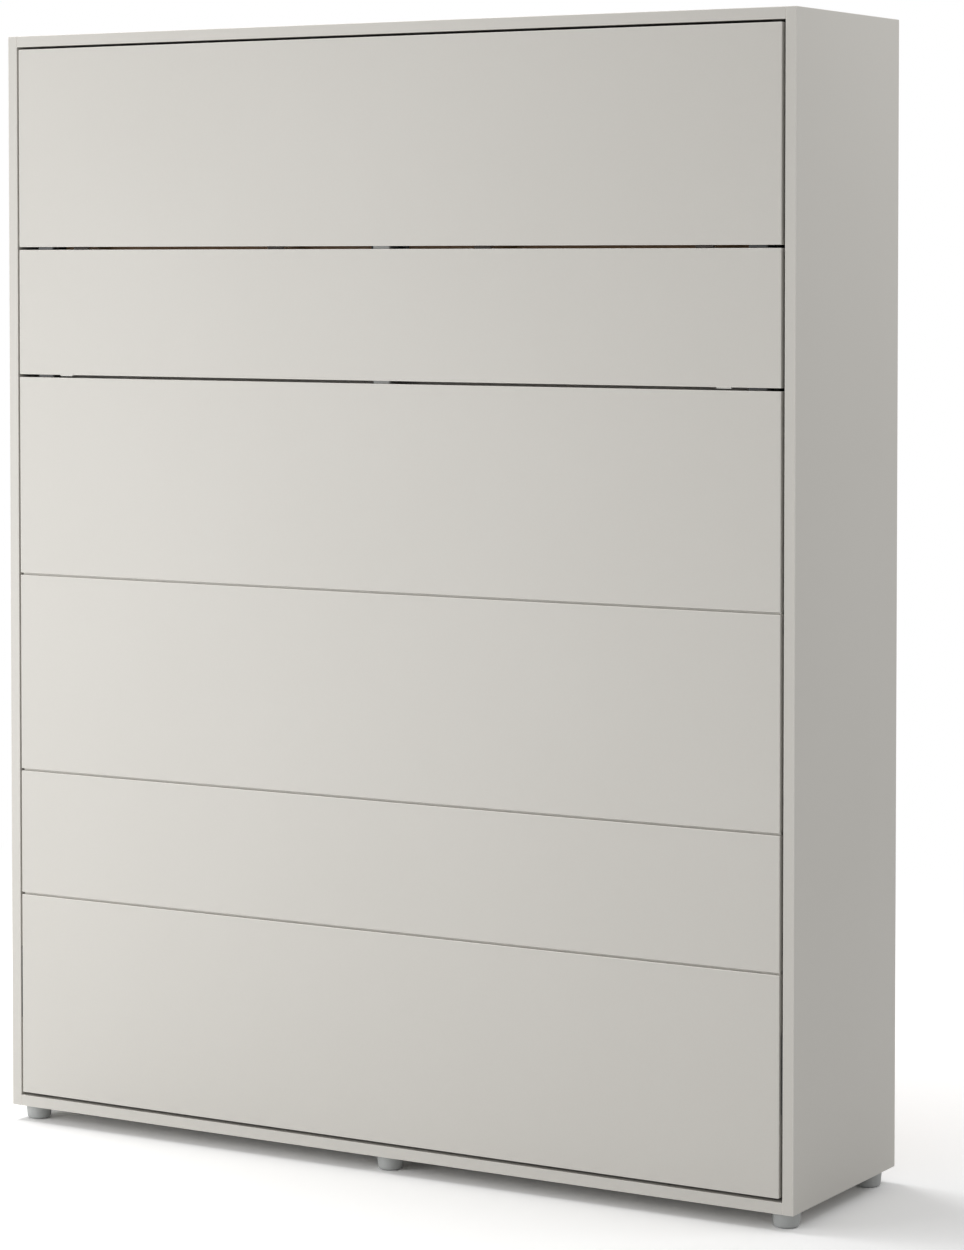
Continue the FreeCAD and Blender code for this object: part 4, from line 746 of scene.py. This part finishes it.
dress(moulded_plastic("pale_glide_plastic", "#e0dfdb", "#d2d1cc", grit=1.5, low=0.5, high=0.65),
      *pairs("leg_glide"))
dress(moulded_rubber(), "stop_pads")
dress(powder_coated_steel("black_strut_enamel", "#1c1c1d", "#121213"), *pairs("strut_cylinder"))
dress(hard_chrome_rod(), *pairs("strut_rod"))

webbing = herringbone_webbing()
make_mattress(knitted_ticking("knitted_ticking_white", "#e6e3dc", "#cfccc5", KNIT_LOOP),
              knitted_ticking("knitted_border_grey", "#a5a4a1", "#83827f", KNIT_LOOP),
              knitted_ticking("knitted_piping_grey", "#8f8e8b", "#72716e", PIPING_LOOP), webbing)
for row in ("lower", "upper"):
    make_strap(row, webbing, black_acetal, zinc)


# Studio

WHITE = (1.0, 1.0, 1.0, 1.0)
PAPER = (0.75, 0.75, 0.75, 1.0)
FLOOR_LIFT = 1.16
FLOOR_REACH = 60.0
# The paper turns to plain white between these distances from a point before the part.
SWEEP_SHIFT = (0.0, 0.5, 0.0)
SWEEP_START = 2.4
SWEEP_END = 4.4
SKY_LIGHT = 0.52
# The camera stands to the right of the front and a little above its middle. Its angles are degrees.
CAMERA_PLACE = (3.7963, -6.2059, 1.7362)
CAMERA_DIP = 2.067
CAMERA_TURN = 30.77
CAMERA_LENS = 107.52
CAMERA_SENSOR = 36.0
CAMERA_SHIFT = -0.18
CAMERA_FAR = 200.0


def seen_directly(tree):
    """1 for a ray from the camera, or for one that a mirror or glass passes on, and 0 for the rest."""
    path = add(tree, "ShaderNodeLightPath")
    mirror = add(tree, "ShaderNodeMath", {
        0: path.outputs["Is Glossy Ray"], 1: path.outputs["Is Transmission Ray"]}, operation="MAXIMUM")
    seen = add(tree, "ShaderNodeMath", {
        0: path.outputs["Is Camera Ray"], 1: mirror.outputs[0]}, operation="MAXIMUM")
    return seen.outputs[0]


def studio_floor():
    """A broad sheet of white paper under the part. The camera sees it as white where the light reaches
    it, the part's shadow stays, and far off it turns to plain white. Other rays meet plain pale paper."""
    material = bpy.data.materials.new("studio_paper")
    material.use_nodes = True
    tree = material.node_tree
    tree.nodes.clear()
    seen = seen_directly(tree)
    paper = add(tree, "ShaderNodeBsdfDiffuse", {"Color": PAPER})
    bright = add(tree, "ShaderNodeBsdfDiffuse", {"Color": (FLOOR_LIFT, FLOOR_LIFT, FLOOR_LIFT, 1.0)})
    place = add(tree, "ShaderNodeMapping", {
        "Vector": add(tree, "ShaderNodeTexCoord").outputs["Object"], "Location": SWEEP_SHIFT})
    reach = add(tree, "ShaderNodeVectorMath", {0: place.outputs[0]}, operation="LENGTH")
    far = add(tree, "ShaderNodeMapRange", {
        "Value": reach.outputs["Value"], "From Min": SWEEP_START, "From Max": SWEEP_END},
        interpolation_type="SMOOTHSTEP")
    white = add(tree, "ShaderNodeEmission", {"Color": WHITE, "Strength": 1.0})
    sweep = add(tree, "ShaderNodeMixShader", {
        0: far.outputs[0], 1: bright.outputs[0], 2: white.outputs[0]})
    mix = add(tree, "ShaderNodeMixShader", {0: seen, 1: paper.outputs[0], 2: sweep.outputs[0]})
    add(tree, "ShaderNodeOutputMaterial", {0: mix.outputs[0]})
    corners = np.array([[-1, -1, 0], [1, -1, 0], [1, 1, 0], [-1, 1, 0]]) * FLOOR_REACH
    mesh = bpy.data.meshes.new("studio_floor")
    mesh.from_pydata(corners.tolist(), [], [(0, 1, 2, 3)])
    mesh.materials.append(material)
    floor = bpy.data.objects.new("studio_floor", mesh)
    bpy.context.scene.collection.objects.link(floor)


def studio_world():
    """White all round for the camera and for reflections, and an even soft light for the rest."""
    world = bpy.data.worlds.new("studio_white")
    bpy.context.scene.world = world
    world.use_nodes = True
    tree = world.node_tree
    tree.nodes.clear()
    seen = seen_directly(tree)
    soft = add(tree, "ShaderNodeBackground", {"Color": WHITE, "Strength": SKY_LIGHT})
    white = add(tree, "ShaderNodeBackground", {"Color": WHITE, "Strength": 1.0})
    mix = add(tree, "ShaderNodeMixShader", {0: seen, 1: soft.outputs[0], 2: white.outputs[0]})
    add(tree, "ShaderNodeOutputWorld", {0: mix.outputs[0]})


def lamp(name, place, target, width, height, watts):
    """A soft box that faces a point: tipped up from straight down until it does, then turned about Z."""
    light = bpy.data.lights.new(name, "AREA")
    light.shape = "RECTANGLE"
    light.size = width
    light.size_y = height
    light.energy = watts
    item = bpy.data.objects.new(name, light)
    bpy.context.scene.collection.objects.link(item)
    item.visible_camera = False
    item.location = place
    away = np.array(target) - np.array(place)
    tip = math.acos(-away[2] / np.linalg.norm(away))
    item.rotation_euler = (tip, 0, math.atan2(-away[0], away[1]))


def studio_camera():
    """A long lens, dipped a little and shifted so that the uprights stay nearly parallel."""
    data = bpy.data.cameras.new("camera")
    data.lens = CAMERA_LENS
    data.sensor_width = CAMERA_SENSOR
    data.shift_y = CAMERA_SHIFT
    data.clip_end = CAMERA_FAR
    camera = bpy.data.objects.new("camera", data)
    bpy.context.scene.collection.objects.link(camera)
    camera.location = CAMERA_PLACE
    camera.rotation_euler = (QUARTER_TURN - math.radians(CAMERA_DIP), 0, math.radians(CAMERA_TURN))
    bpy.context.scene.camera = camera


studio_floor()
studio_world()
lamp("key_soft_box", place=(-2.5, -3.2, 1.2), target=(0.0, 0.0, 1.1), width=2.2, height=2.4, watts=63)
lamp("high_soft_box", place=(-2.5, 0.3, 6.0), target=(0.3, -0.2, 0.0), width=4.6, height=2.2, watts=225)
lamp("fill_soft_box", place=(2.4, 0.6, 3.0), target=(0.88, 0.1, 1.9), width=1.0, height=1.0, watts=9)
studio_camera()
bpy.context.scene.view_settings.view_transform = "Standard"
